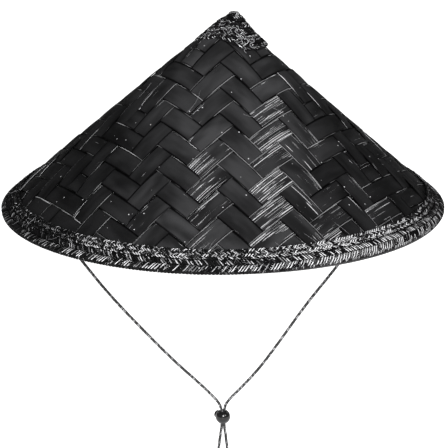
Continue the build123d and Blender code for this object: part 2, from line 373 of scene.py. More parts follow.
def speck_group() -> bpy.types.NodeTree:
    """Build the effect of scattered pale specks and flecks.

    Returns:
        The node group, whose Specks output is 1 on a speck.
    """
    inputs = {"Place vector": 0.0, "Density": 300.0, "Share": 0.1, "Size": 0.23}
    graph, into, out = new_group("pale specks", inputs, ["Specks"])
    cells = graph.add("ShaderNodeTexVoronoi", {"Vector": into["Place vector"], "Scale": into["Density"]})
    chance = graph.add("ShaderNodeSeparateColor", {0: cells.outputs["Color"]})
    rim, core = (graph.times(into["Size"], share) for share in (1.3, 0.7))
    near = graph.ease(cells.outputs["Distance"], rim, core)
    chosen = graph.math("LESS_THAN", chance.outputs[0], into["Share"])
    graph.link(graph.times(near, chosen), out.inputs["Specks"])
    return graph.tree


def new_material(name: str) -> tuple[bpy.types.Material, Graph, bpy.types.Node]:
    """Start a material.

    Args:
        name: name of the material.

    Returns:
        The material, its graph and its Principled shader.
    """
    material = bpy.data.materials.new(name)
    material.use_nodes = True
    shader = material.node_tree.nodes["Principled BSDF"]
    return material, Graph(material.node_tree), shader


def grey(level: float) -> tuple[float, float, float, float]:
    """A neutral colour of one brightness."""
    return (level, level, level * 1.02, 1.0)


@dataclass(frozen=True)
class StainedSplint:
    """Black-stained split bamboo, satin on its skin and pale where fibres have lifted, with painted glint,
    painted highlight and painted shade in its colour.

    Attributes:
        name: name of the material.
        dark: base brightness of the stain.
        light: brightness of a bare fibre, also used for painted glint and painted highlight.
        width: half width of a bare fibre, as a share of its cell.
        edge: half width of the strip in metres, whose edges are worn pale, with a painted highlight on the
            upper edge, or 0.
        edge_line: width of that pale line.
        edge_low: strength of the line on the lower edge; it is 1 on the upper edge, where painted highlight
            adds to the wear.
        edge_from: split value from which the edges are worn all along.
        rim_from: distance from the edge at which its dark rim, painted shade between splints, begins.
        rim_to: distance from the edge at which that painted shade is darkest.
        roughness: of the stained skin.
        gloss: specular level.
        specks: share of cells with a pale speck.
        ridge: half width of a strand's bare crest, or 0.
    """

    name: str
    dark: float = 0.0160
    light: float = 0.50
    width: float = 0.12
    edge: float = 0.0
    edge_line: float = 0.75 * MM
    edge_low: float = 0.35
    edge_from: float = 0.55
    rim_from: float = 2.2 * MM
    rim_to: float = 0.9 * MM
    roughness: float = 0.58
    gloss: float = 0.02
    specks: float = 0.014
    ridge: float = 0.0

    def worn_and_highlit_edges(self, graph: Graph, across: object, split: object, tone: object) -> bpy.types.NodeSocket:
        """Make the mask of the pale lines along both edges: wear on both, and painted highlight that makes
        the upper edge's line the stronger.

        Args:
            graph: the material's graph.
            across: distance from the strip's middle line.
            split: how split the strip is, with its painted glint.
            tone: slow noise that breaks the lines.

        Returns:
            The mask's socket.
        """
        away = graph.math("ABSOLUTE", across)
        near = graph.ease(away, self.edge - self.edge_line, self.edge - self.edge_line * 0.6)
        # painted highlight: the upper edge's line is full, the lower edge's only edge_low of it
        lower = graph.math("GREATER_THAN", across, 0.0)
        side = graph.math("SUBTRACT", 1.0, graph.times(lower, 1.0 - self.edge_low))
        reach = graph.math("SUBTRACT", 0.54, graph.times(split, 0.20 / self.edge_from))
        broken = graph.ease(tone, reach, graph.plus(reach, 0.10))
        return graph.times(graph.times(near, side), broken)

    def build(self, effects: Effects, per_point_split: bool = False) -> bpy.types.Material:
        """Make the material.

        Args:
            effects: shared node groups.
            per_point_split: whether the mesh has its own split value on each point.

        Returns:
            The material.
        """
        material, graph, shader = new_material(self.name)
        uv = graph.add("ShaderNodeUVMap", uv_map="UVMap")
        parts = graph.add("ShaderNodeSeparateXYZ", {0: uv.outputs[0]})
        seed = graph.add("ShaderNodeAttribute", attribute_name="seed").outputs["Fac"]
        place = graph.add("ShaderNodeCombineXYZ", {0: parts.outputs[0], 1: parts.outputs[1], 2: seed})
        split = graph.add("ShaderNodeAttribute", attribute_name="split").outputs["Fac"]
        fibres = graph.add("ShaderNodeGroup", node_tree=effects.fibres)
        graph.link(place.outputs[0], fibres.inputs["Place vector"])
        if per_point_split and not self.ridge:
            graph.link(split, fibres.inputs["Split"])
        fibres.inputs["Width"].default_value = self.width
        fibres.inputs["Half"].default_value = self.edge or 1.0
        specks = graph.add("ShaderNodeGroup", node_tree=effects.specks)
        specks.inputs["Density"].default_value = 420.0
        specks.inputs["Share"].default_value = self.specks
        graph.link(place.outputs[0], specks.inputs["Place vector"])
        pale = graph.math("MAXIMUM", fibres.outputs["Streak"], specks.outputs["Specks"])
        if self.edge:
            wear_and_highlight = self.worn_and_highlit_edges(graph, parts.outputs[1], split, fibres.outputs["Tone"])
            pale = graph.math("MAXIMUM", pale, wear_and_highlight)
        if self.ridge:
            crest = graph.ease(graph.math("ABSOLUTE", parts.outputs[1]), self.ridge, self.ridge * 0.5)
            bare = graph.plus(split, graph.times(fibres.outputs["Tone"], 0.3))
            crest = graph.times(crest, graph.ease(bare, 0.25, 0.75))
            pale = graph.math("MAXIMUM", pale, crest)
        shade = graph.add("ShaderNodeTexWhiteNoise", {"W": seed}, noise_dimensions="1D").outputs["Value"]
        shade = graph.plus(0.7, graph.times(shade, 0.6))
        level = graph.plus(graph.ease(fibres.outputs["Tone"], 0.3, 0.7), 0.5)
        level = graph.times(graph.times(shade, level), self.dark)
        if self.edge:
            # painted shade: a dark rim along both edges of the strip, where one splint meets the next
            away = graph.math("ABSOLUTE", parts.outputs[1])
            rim = graph.ease(away, self.edge - self.rim_from, self.edge - self.rim_to)
            level = graph.times(level, graph.math("SUBTRACT", 1.0, graph.times(rim, 0.8)))
            # painted shade: this point value darkens the splints towards both flanks
            stain = graph.add("ShaderNodeAttribute", attribute_name="stain").outputs["Fac"]
            level = graph.times(level, stain)
        tint = graph.add("ShaderNodeCombineColor", {0: level, 1: level, 2: graph.times(level, 1.04)})
        colour = graph.mix(pale, tint.outputs[0], grey(self.light))
        graph.link(colour, shader.inputs["Base Color"])
        rough = graph.plus(self.roughness - 0.08, graph.times(fibres.outputs["Grain"], 0.2))
        graph.link(rough, shader.inputs["Roughness"])
        relief = graph.plus(graph.times(fibres.outputs["Grain"], 0.35), pale)
        bump = graph.add("ShaderNodeBump", {"Height": relief, "Strength": 0.35, "Distance": 0.0004})
        graph.link(bump.outputs[0], shader.inputs["Normal"])
        shader.inputs["Specular IOR Level"].default_value = self.gloss
        return material


@dataclass(frozen=True)
class AxisSplint:
    """Stained splint or cane bent round the hat's axis, for pieces with no map of their own."""

    name: str
    dark: float = 0.012
    light: float = 0.30
    radius: float = 94 * MM

    def build(self, effects: Effects) -> bpy.types.Material:
        """Make the material from the distance round the axis and the height."""
        material, graph, shader = new_material(self.name)
        place = graph.add("ShaderNodeTexCoord").outputs["Object"]
        parts = graph.add("ShaderNodeSeparateXYZ", {0: place})
        turn = graph.math("ARCTAN2", parts.outputs[1], parts.outputs[0])
        round_axis = graph.times(turn, self.radius)
        strip = graph.add("ShaderNodeCombineXYZ", {0: round_axis, 1: parts.outputs[2], 2: 0.5})
        fibres = graph.add("ShaderNodeGroup", node_tree=effects.fibres)
        fibres.inputs["Split"].default_value = 0.35
        graph.link(strip.outputs[0], fibres.inputs["Place vector"])
        toned = graph.mix(
            graph.ease(fibres.outputs["Tone"], 0.3, 0.7), grey(self.dark * 0.6), grey(self.dark * 1.8)
        )
        colour = graph.mix(fibres.outputs["Streak"], toned, grey(self.light))
        graph.link(colour, shader.inputs["Base Color"])
        rough = graph.plus(0.38, graph.times(fibres.outputs["Grain"], 0.2))
        graph.link(rough, shader.inputs["Roughness"])
        relief = graph.plus(fibres.outputs["Grain"], fibres.outputs["Streak"])
        bump = graph.add("ShaderNodeBump", {"Height": relief, "Strength": 0.3, "Distance": 0.0004})
        graph.link(bump.outputs[0], shader.inputs["Normal"])
        shader.inputs["Specular IOR Level"].default_value = 0.3
        return material


@dataclass(frozen=True)
class BraidedCord:
    """Fine black braid with pale flecks."""

    name: str = "chin cord"
    dark: float = 0.014
    light: float = 0.36
    carriers: int = 8
    pitch: float = 5.2 * MM

    def build(self, effects: Effects) -> bpy.types.Material:
        """Make the material from the mesh's UV map: metres along, radians round."""
        material, graph, shader = new_material(self.name)
        uv = graph.add("ShaderNodeUVMap", uv_map="UVMap")
        parts = graph.add("ShaderNodeSeparateXYZ", {0: uv.outputs[0]})
        lead = graph.times(parts.outputs[0], 2 * math.pi / self.pitch)
        turn = graph.times(parts.outputs[1], self.carriers / 2)
        right = graph.math("SINE", graph.plus(graph.times(lead, 2.0), turn))
        left = graph.math("SINE", graph.math("SUBTRACT", graph.times(lead, 2.0), turn))
        weave = graph.times(right, left)
        round_it = graph.times(parts.outputs[1], 0.0013)
        place = graph.add("ShaderNodeCombineXYZ", {0: parts.outputs[0], 1: round_it})
        specks = graph.add("ShaderNodeGroup", node_tree=effects.specks)
        specks.inputs["Density"].default_value = 480.0
        specks.inputs["Share"].default_value = 0.5
        specks.inputs["Size"].default_value = 0.5
        graph.link(place.outputs[0], specks.inputs["Place vector"])
        tone = graph.mix(graph.ease(weave, -0.6, 0.6), grey(self.dark * 0.5), grey(self.dark * 2.2))
        colour = graph.mix(graph.times(specks.outputs[0], 0.8), tone, grey(self.light))
        graph.link(colour, shader.inputs["Base Color"])
        bump = graph.add("ShaderNodeBump", {"Height": weave, "Strength": 0.6, "Distance": 0.0003})
        graph.link(bump.outputs[0], shader.inputs["Normal"])
        shader.inputs["Roughness"].default_value = 0.62
        shader.inputs["Specular IOR Level"].default_value = 0.35
        return material


@dataclass(frozen=True)
class BlackGloss:
    """Moulded black plastic with a polished skin and a few fine scratches."""

    name: str
    roughness: float = 0.12

    def build(self) -> bpy.types.Material:
        """Make the material."""
        material, graph, shader = new_material(self.name)
        place = graph.add("ShaderNodeTexCoord").outputs["Object"]
        scale = (900.0, 5000.0, 700.0)
        stretched = graph.add("ShaderNodeVectorMath", {0: place, 1: scale}, operation="MULTIPLY")
        inputs = {"Vector": stretched.outputs[0], "Scale": 1.0, "Detail": 2.0}
        scratches = graph.add("ShaderNodeTexNoise", inputs)
        smudges = graph.add("ShaderNodeTexNoise", {"Vector": place, "Scale": 260.0, "Detail": 3.0})
        mark = graph.ease(scratches.outputs[0], 0.66, 0.74)
        rough = graph.plus(self.roughness, graph.times(mark, 0.22))
        rough = graph.plus(rough, graph.times(smudges.outputs[0], 0.08))
        graph.link(rough, shader.inputs["Roughness"])
        colour = graph.mix(mark, grey(0.008), grey(0.03))
        graph.link(colour, shader.inputs["Base Color"])
        inputs = {"Height": smudges.outputs[0], "Strength": 0.05, "Distance": 0.0002}
        bump = graph.add("ShaderNodeBump", inputs)
        graph.link(bump.outputs[0], shader.inputs["Normal"])
        shader.inputs["Coat Weight"].default_value = 0.15
        shader.inputs["Specular IOR Level"].default_value = 0.28
        shader.inputs["Coat Roughness"].default_value = 0.05
        return material


@dataclass(frozen=True)
class SpringWire:
    """Drawn steel wire."""

    name: str = "spring wire"

    def build(self) -> bpy.types.Material:
        """Make the material."""
        material, graph, shader = new_material(self.name)
        place = graph.add("ShaderNodeTexCoord").outputs["Object"]
        drawn = graph.add("ShaderNodeTexNoise", {"Vector": place, "Scale": 2500.0, "Detail": 2.0})
        graph.link(graph.mix(drawn.outputs[0], grey(0.35), grey(0.62)), shader.inputs["Base Color"])
        graph.link(graph.plus(0.2, graph.times(drawn.outputs[0], 0.2)), shader.inputs["Roughness"])
        shader.inputs["Metallic"].default_value = 1.0
        return material


# ---- the cone's form ----------------------------------------------------------------------------
@dataclass(frozen=True)
class ConeForm:
    """The cone that the weave is wrapped on, and its unrolled sheet.

    A place on it is a distance from the point (rho), an angle on the unrolled sheet (theta, from 0
    to three right angles) and a lift out of the weave's outer face.

    Attributes:
        brim_radius: outermost radius, over the bound edge.
        binding_radius: of the rolled edge.
        layer: thickness of one layer of splints.
        run: horizontal run of one metre of slope.
        front_theta: angle on the unrolled sheet of the front middle line.
        lean: how far the point leans sideways.
        warp: how far the brim lifts at its warped place.
        warp_azimuth: angle round the axis of that place.
        warp_spread: angle over which the warp fades.
    """

    brim_radius: float = 210.0 * MM
    binding_radius: float = 2.2 * MM
    layer: float = 1.0 * MM
    run: float = 0.75
    front_theta: float = math.pi / 4
    lean: float = 4.3 * MM
    warp: float = 2.6 * MM
    warp_azimuth: float = -0.80
    warp_spread: float = 0.55

    @property
    def rise(self) -> float:
        """Vertical rise of one metre of slope."""
        return math.sqrt(1.0 - self.run**2)

    @property
    def wall_radius(self) -> float:
        """Radius of the weave's outer face at its lower edge."""
        return self.brim_radius - self.binding_radius * (1 + self.run) + self.layer * self.rise

    @property
    def slope_length(self) -> float:
        """Distance from the point down to the weave's lower edge."""
        return self.wall_radius / self.run

    @property
    def peak(self) -> float:
        """Height of the cone's point."""
        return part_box("back_splints")[1].z

    def azimuth(self, theta: np.ndarray) -> np.ndarray:
        """Angle round the axis for an angle on the unrolled sheet; the front is at minus a right angle."""
        return (theta - self.front_theta) / self.run - math.pi / 2

    def place(self, rho: np.ndarray, theta: np.ndarray, lift: np.ndarray) -> np.ndarray:
        """Points in the frame for places on the cone."""
        turn = self.azimuth(theta)
        out = lift * self.rise
        radius = rho * self.run + out
        height = -rho * self.rise + lift * self.run
        share = np.clip(1.0 - rho / self.slope_length, 0.0, 1.0)
        apart = (turn - self.warp_azimuth + math.pi) % (2 * math.pi) - math.pi
        lifted = self.warp * np.exp(-((apart / self.warp_spread) ** 2)) * (rho / self.slope_length) ** 3
        return np.stack(
            [
                radius * np.cos(turn) + self.lean * share**2,
                radius * np.sin(turn),
                self.peak + height + lifted,
            ],
            axis=-1,
        )

    def outward(self, theta: np.ndarray) -> np.ndarray:
        """Direction out of the weave's face."""
        turn = self.azimuth(theta)
        return np.stack(
            [self.rise * np.cos(turn), self.rise * np.sin(turn), np.full_like(turn, self.run)], axis=-1
        )

    def downward(self, theta: np.ndarray) -> np.ndarray:
        """Direction down the slope."""
        turn = self.azimuth(theta)
        return np.stack(
            [self.run * np.cos(turn), self.run * np.sin(turn), np.full_like(turn, -self.rise)], axis=-1
        )

    def around(self, count: int) -> np.ndarray:
        """Angles on the unrolled sheet of count even steps round the hat."""
        return np.arange(count) * (2 * math.pi * self.run) / count

    def from_edge(self, up_slope: float) -> float:
        """Distance from the point for a distance up the slope from the weave's lower edge."""
        return self.slope_length - up_slope


# ---- the woven cone -----------------------------------------------------------------------------
class Family(Enum):
    """The three families of splints. Each crosses the next one on a third of the cone."""

    FRONT_LEFT = 0
    FRONT_RIGHT = 1
    BACK = 2


@dataclass
class SplintWeave:
    """Broad splints in a two-over, two-under weave that closes round the cone without a seam.

    Attributes:
        form: the cone.
        pitch: distance between neighbouring splints.
        gap: space left between two splints.
        thickness: of a splint.
        weave: how far a splint goes above and below the middle of the wall.
        arch: how far a float bulges out, at most.
        shift: offset of each family's splints, in pitches.
        phase: offset of the over and under pattern on each third.
        steps: samples in each pitch.
        crowns: points across a splint's face.
    """

    form: ConeForm
    pitch: float = 19.6 * MM
    gap: float = -0.3 * MM
    thickness: float = 0.7 * MM
    weave: float = 0.5 * MM
    arch: float = 0.9 * MM
    shift: tuple = (0.2, -0.2, 0.0)
    phase: tuple = (2, 2, 2)
    steps: int = 8
    crowns: int = 13

    def over(self, third: int, first: int, second: int) -> bool:
        """Whether splint number first of a third's own family lies over number second of the next."""
        return (first - second + self.phase[third]) % 4 in (0, 1)

    def floats(self, family: int, number: int, reach: float) -> list[tuple[float, float, int]]:
        """Stretches of one splint between two crossings under its neighbours.

        Args:
            family: index of the splint's family.
            number: the splint's number, from the point of the cone.
            reach: half its length.

        Returns:
            Start, end and level (1 over, -1 under) of each stretch.
        """
        following, before = (family + 1) % 3, (family - 1) % 3
        cells = []
        last = int(reach / self.pitch) + 2
        for cell in range(last, -1, -1):
            low = -(cell + 1 + self.shift[before]) * self.pitch
            level = -1 if self.over(before, cell, number) else 1
            cells.append((low, low + self.pitch, level))
        for cell in range(last + 1):
            low = (cell + self.shift[following]) * self.pitch
            level = 1 if self.over(family, number, cell) else -1
            cells.append((low, low + self.pitch, level))
        runs = [list(cells[0])]
        for low, high, level in cells[1:]:
            if level == runs[-1][2]:
                runs[-1][1] = high
            else:
                runs[-1][1] = low
                runs.append([low, high, level])
        return [tuple(run) for run in runs]

    def split_and_glint_level(self, family: int, turn: np.ndarray, rho: np.ndarray, own: float) -> np.ndarray:
        """How split the splint's face is at each sample, from 0 to 1; past a little real splitting, the
        columns of extra wear on the front are painted glint on split fibres.
        """
        aside = rho * self.form.run * np.cos(turn) / MM
        # painted glint: the extra wear below is kept to the front of the hat, in columns where light glints
        # on split fibres
        front = smooth(-0.1, 0.5, -np.sin(turn))
        high, low = smooth(70 * MM, 120 * MM, rho), smooth(110 * MM, 170 * MM, rho)
        if family == Family.FRONT_RIGHT.value:
            wear_and_highlight = 0.54 * high * np.exp(-(((aside - 46.0) / 25.0) ** 4))
            wear_and_highlight += 0.40 * low * np.exp(-(((aside + 12.0) / 22.0) ** 4))
            wear_and_highlight += 0.60 * smooth(190 * MM, 250 * MM, rho) * np.exp(-(((aside - 110.0) / 40.0) ** 2))
            return np.clip(0.04 + 0.12 * own + wear_and_highlight * front, 0.0, 1.0)
        wear_and_highlight = 0.35 * low * np.exp(-(((aside - 80.0) / 30.0) ** 2))
        return np.clip(0.01 + 0.06 * own + wear_and_highlight * front, 0.0, 1.0)

    def splint(self, maker: MeshMaker, family: int, number: int, rng: np.random.RandomState) -> None:
        """Add one splint to its family's mesh."""
        form = self.form
        middle = (number + 0.5 + self.shift[family]) * self.pitch
        half = (self.pitch - self.gap) / 2
        if middle + half * 0.5 > form.slope_length:
            return
        inner = max(middle - half, 0.0)
        reach = math.sqrt(max(form.slope_length**2 - inner**2, 0.0))
        count = max(int(2 * reach / self.pitch * self.steps), 6)
        along = np.linspace(-reach, reach, count)
        level = np.zeros(count)
        bulge = np.zeros(count)
        roll = np.zeros(count)
        for low, high, side in self.floats(family, number, reach):
            inside = (along >= low) & (along < high)
            place = (along[inside] - low) / (high - low)
            hump = 1.0 - np.abs(2 * place - 1.0) ** 5
            level[inside] = side * hump
            size = rng.uniform(0.35, 1.0) if side > 0 else -0.15
            bulge[inside] = size * np.sin(math.pi * place) ** 1.5
            roll[inside] = rng.uniform(-1.0, 1.0) * np.sin(math.pi * place) * (1.0 if side > 0 else 0.3)
        own = rng.uniform(0.0, 1.0)
        top = np.linspace(-1.0, 1.0, self.crowns)
        under = np.linspace(0.86, -0.86, 5)
        across = np.concatenate([top, under]) * half
        width = half * (1.0 + 0.02 * wander(rng, count, 3 * self.steps))
        offset = across[None, :] * (width / half)[:, None]
        offset = offset + 0.15 * MM * wander(rng, count, 2 * self.steps)[:, None]
        x = middle + offset
        y = np.repeat(along[:, None], len(across), axis=1)
        rho = np.hypot(x, y)
        theta = family * math.pi / 2 + np.arctan2(y, x)
        rho = np.minimum(rho, form.slope_length - 0.4 * MM)
        calm = smooth(form.slope_length - 18 * MM, form.slope_length - 34 * MM, rho)
        turn = form.azimuth(theta[:, self.crowns // 2])
        turn = (turn + math.pi) % (2 * math.pi) - math.pi
        split = self.split_and_glint_level(family, turn, rho[:, self.crowns // 2], own)
        aside = rho * form.run * np.cos(turn)[:, None] / MM
        # painted shade: the splints are darker towards both flanks, away from the front middle
        stain = 0.42 + 0.68 * np.exp(-((aside / 85.0) ** 4))
        face = np.concatenate([np.ones(self.crowns), np.zeros(len(under))])
        shape = np.concatenate([-0.16 * MM * top**4, -self.thickness + 0.05 * MM * np.abs(under)])
        grooves = np.zeros((count, len(across)))
        for column in range(1, self.crowns - 1):
            line = wander(rng, count, max(self.steps + rng.randint(-3, 6), 3)) + rng.uniform(-0.7, 0.5)
            grooves[:, column] = -0.26 * MM * np.clip(line, 0.0, 1.0) * (0.15 + 0.85 * split)
        lift = (
            -form.layer
            + self.thickness / 2
            + self.weave * level[:, None]
            + self.arch * bulge[:, None] * calm
            + 0.55 * MM * roll[:, None] * calm * (across / half)[None, :]
            + shape[None, :]
            + grooves * face[None, :]
        )
        points = form.place(rho, theta, lift)
        uv = np.stack([y, np.repeat(across[None, :], count, axis=0)], axis=-1)
        maker.grid(
            points,
            uv,
            False,
            seed=np.full(rho.shape, family * 17 + number + own),
            split=np.repeat(split[:, None], len(across), axis=1),
            stain=stain,
        )

    def build(self, effects: Effects) -> list[bpy.types.Object]:
        """Weave the three families.

        Args:
            effects: shared node groups.

        Returns:
            The three pieces.
        """
        finish = StainedSplint("woven splint", edge=(self.pitch - self.gap) / 2)
        material = finish.build(effects, per_point_split=True)
        pieces = []
        for family in Family:
            rng = np.random.RandomState(41 + family.value)
            maker = MeshMaker()
            for number in range(int(self.form.slope_length / self.pitch) + 1):
                self.splint(maker, family.value, number, rng)
            node = f"{family.name.lower()}_splints"
            piece = maker.build(f"{node}_woven")
            dress(piece, material, "hat", "woven_splint", node)
            pieces.append(piece)
        return pieces


def dress(piece: bpy.types.Object, material: bpy.types.Material, body: str, slot: str, *nodes: str) -> None:
    """Give a piece its material and its body, and hide the nodes it stands for."""
    piece.data.materials.append(material)
    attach(piece, body)
    if nodes:
        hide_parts(*nodes)
    LOG.info("%s: %d faces on %s", piece.name, len(piece.data.polygons), body)


# ---- plaits ----------------------------------------------------------------------------------
def strand_value(rng: np.random.RandomState, count: int, step: int, share: np.ndarray) -> np.ndarray:
    """How pale each sample of a strand is: a random share of it, stitch by stitch."""
    stitch = rng.uniform(0.0, 1.0, count // step + 2)[np.arange(count) // step]
    return np.clip(share * (0.05 + 1.6 * stitch**2) + 0.5 * np.maximum(share - 0.9, 0.0), 0.0, 1.0)


def sweep_strand(
    maker: MeshMaker,
    path: np.ndarray,
    face_out: np.ndarray,
    half_width: float,
    half_thickness: float,
    closed: bool,
    seed: float,
    pale: np.ndarray,
    corners: int = 8,
) -> None:
    """Add one strand of a plait.

    Args:
        maker: mesh that takes it.
        path: points along it.
        face_out: direction that its face looks, at each point.
        half_width: half its width.
        half_thickness: half its thickness.
        closed: whether it is a loop.
        seed: number that sets its colours apart.
        pale: how pale it is at each point, from 0 to 1: wear, and on the brim rows painted highlight too.
        corners: points in its section.
    """
    if closed:
        travel = unit(np.roll(path, -1, axis=0) - np.roll(path, 1, axis=0))
        step = np.linalg.norm(path - np.roll(path, 1, axis=0), axis=1)
    else:
        travel = unit(np.gradient(path, axis=0))
        step = np.linalg.norm(np.diff(path, axis=0, prepend=path[:1]), axis=1)
    across = unit(np.cross(face_out, travel))
    out = np.cross(travel, across)
    section = oval_ring(half_width, half_thickness, corners)
    points = (
        path[:, None, :]
        + across[:, None, :] * section[None, :, 0:1]
        + out[:, None, :] * section[None, :, 1:2]
    )
    shape = points.shape[:2]
    uv = np.stack(
        [
            np.broadcast_to(np.cumsum(step)[:, None], shape),
            np.broadcast_to(section[None, :, 0], shape),
        ],
        axis=-1,
    )
    maker.grid(
        points, uv, closed, seed=np.full(shape, seed), split=np.broadcast_to(pale[:, None], shape)
    )


class Hand(Enum):
    """Which way a laid rope's strands lean."""

    LEFT = -1
    RIGHT = 1


@dataclass
class EdgeRow:
    """A plaited or laid row that runs round the hat.

    Attributes:
        form: the cone.
        node: CAD node that it stands for.
        start: distance of its lower side up the slope from the weave's lower edge.
        base: lift of its flat side out of the weave's outer face.
        height: how far it stands out from there; below 0 it stands inwards.
        width: of the row.
        periods: repeats of its pattern round the hat.
        strands: strands in it.
        seed: of its unevenness.
        brightness: how pale its strands are, from wear and painted highlight.
        second: whether it is a second row of the same node.
    """

    form: ConeForm
    node: str
    start: float
    base: float
    height: float
    periods: int
    strands: int
    seed: int
    brightness: float
    width: float = 6.6 * MM
    second: bool = False

    def wear_and_highlight(self, theta: np.ndarray) -> np.ndarray:
        """How pale the row is at each angle, from wear and painted highlight: most on the front right, least
        at the sides.
        """
        turn = np.degrees(self.form.azimuth(theta)) + 90.0
        turn = (turn + 180.0) % 360.0 - 180.0
        # painted highlight: paler on the front right, and a little on the front left, where the light falls
        right = np.exp(-(((turn - 34.0) / 26.0) ** 2))
        left = np.exp(-(((turn + 24.0) / 20.0) ** 2))
        return self.brightness * (0.18 + 0.85 * right + 0.30 * left)

    def centre(self, theta: np.ndarray, rng: np.random.RandomState) -> tuple[np.ndarray, np.ndarray]:
        """Distance from the point and lift of the row's middle line, with a little unevenness."""
        count = len(theta)
        rho = self.form.from_edge(self.start + self.width / 2) + 0.22 * MM * wander(rng, count, 60)
        return rho, np.full(count, self.base + self.height / 2)

    def finish(self, maker: MeshMaker, material: bpy.types.Material, slot: str) -> None:
        """Make the object and dress it."""
        if self.second:
            dress(maker.build(f"{self.node}_second_plait"), material, "hat", slot)
        else:
            dress(maker.build(f"{self.node}_plait"), material, "hat", slot, self.node)


@dataclass
class FlatPlait(EdgeRow):
    """A flat plait of a few strands."""

    samples: int = 16
    strand_width: float = 1.6 * MM

    def build(self, material: bpy.types.Material, slot: str) -> None:
        """Plait the row."""
        rng = np.random.RandomState(self.seed)
        maker = MeshMaker()
        count = self.periods * self.samples
        theta = self.form.around(count)
        turn = np.arange(count) * 2 * math.pi / self.samples
        rho, lift = self.centre(theta, rng)
        swing = self.width / 2 - self.strand_width * 0.36
        rise = abs(self.height) / 2 - 0.42 * MM
        for strand in range(self.strands):
            phase = turn + strand * 2 * math.pi / self.strands
            uneven = 1.0 + 0.14 * wander(rng, count, self.samples)
            sway = swing * np.sin(phase) * uneven + 0.2 * MM * wander(rng, count, 7)
            up = rise * np.sin(2 * phase) * (0.9 + 0.25 * wander(rng, count, self.samples))
            path = self.form.place(rho + sway, theta, lift + up)
            pale = strand_value(rng, count, self.samples // 4, self.wear_and_highlight(theta))
            face = self.form.outward(theta)
            sweep_strand(
                maker, path, face, self.strand_width / 2, 0.36 * MM, True, self.seed + strand, pale
            )
        self.finish(maker, material, slot)


@dataclass
class LaidRow(EdgeRow):
    """A flattened rope of slanted strands, which shows as a row of slanted stitches."""

    hand: Hand = Hand.RIGHT
    samples: int = 14
    strand_width: float = 1.7 * MM

    def build(self, material: bpy.types.Material, slot: str) -> None:
        """Lay the row."""
        rng = np.random.RandomState(self.seed)
        maker = MeshMaker()
        count = self.periods * self.samples
        theta = self.form.around(count)
        turn = self.hand.value * np.arange(count) * 2 * math.pi / self.samples
        rho, lift = self.centre(theta, rng)
        swing = self.width / 2 - 0.6 * MM
        rise = self.height / 2 - 0.5 * MM
        for strand in range(self.strands):
            phase = turn + strand * 2 * math.pi / self.strands + 0.25 * wander(rng, count, self.samples)
            side, up = np.sin(phase), np.cos(phase)
            path = self.form.place(
                rho + swing * side * (1.0 + 0.06 * wander(rng, count, 9)),
                theta,
                lift + rise * np.sign(up) * np.abs(up) ** 0.7 * (1.0 + 0.2 * wander(rng, count, 11)),
            )
            face = unit(
                self.form.downward(theta) * (side / swing)[:, None]
                + self.form.outward(theta) * (up / (rise * 1.6))[:, None]
            )
            pale = strand_value(rng, count, self.samples // 2, self.wear_and_highlight(theta))
            sweep_strand(
                maker, path, face, self.strand_width / 2, 0.45 * MM, True, self.seed + strand, pale
            )
        self.finish(maker, material, slot)


@dataclass
class RolledEdge:
    """A thin splint wound round the hoop at the very edge of the brim.

    Attributes:
        form: the cone.
        radius: of the winding.
        winds: turns round the whole brim.
        samples: rings of points in each turn.
        corners: points in each ring.
    """

    form: ConeForm
    radius: float = 2.2 * MM
    winds: int = 400
    samples: int = 8
    corners: int = 20

    def build(self, material: bpy.types.Material) -> None:
        """Wind the edge."""
        rng = np.random.RandomState(7)
        count = self.winds * self.samples
        theta = self.form.around(count)
        angle = np.arange(self.corners) * 2 * math.pi / self.corners
        wind = np.arange(count)[:, None] / self.samples + angle[None, :] / (2 * math.pi)
        part = wind % 1.0
        slack = 0.12 * MM * wander(rng, self.winds + 1, 1)[np.floor(wind).astype(int) % self.winds]
        ridge = -0.75 * MM * (part**8 + (1.0 - part) ** 10) - 0.10 * MM + slack * 0.5
        radius = self.radius + ridge
        rho = self.form.from_edge(-self.radius) + radius * np.sin(angle)[None, :]
        lift = -self.form.layer + radius * np.cos(angle)[None, :]
        points = self.form.place(rho, np.broadcast_to(theta[:, None], rho.shape), lift)
        along = angle[None, :] * self.radius + 0.011 * np.floor(wind)
        uv = np.stack([along, (part - 0.5) * 3.3 * MM], axis=-1)
        stitch = rng.uniform(0.0, 1.0, self.winds + 1)[np.floor(wind).astype(int) % self.winds]
        maker = MeshMaker()
        # painted highlight: the winding is paler on the front right and on the upper side of each turn, where
        # the light falls
        turn = np.degrees(self.form.azimuth(theta)) + 90.0
        aside = np.exp(-(((turn - 46.0) / 26.0) ** 2))[:, None]
        upper = smooth(0.35, 0.8, np.cos(angle - 0.3))[None, :]
        wear_and_highlight = stitch * (0.12 + 0.85 * aside) * (0.25 + 0.75 * upper)
        maker.grid(points, uv, True, seed=np.floor(wind) % 7 * 0.37, split=wear_and_highlight)
        dress(maker.build("rim_binding_wound"), material, "hat", "edge_binding", "rim_binding")


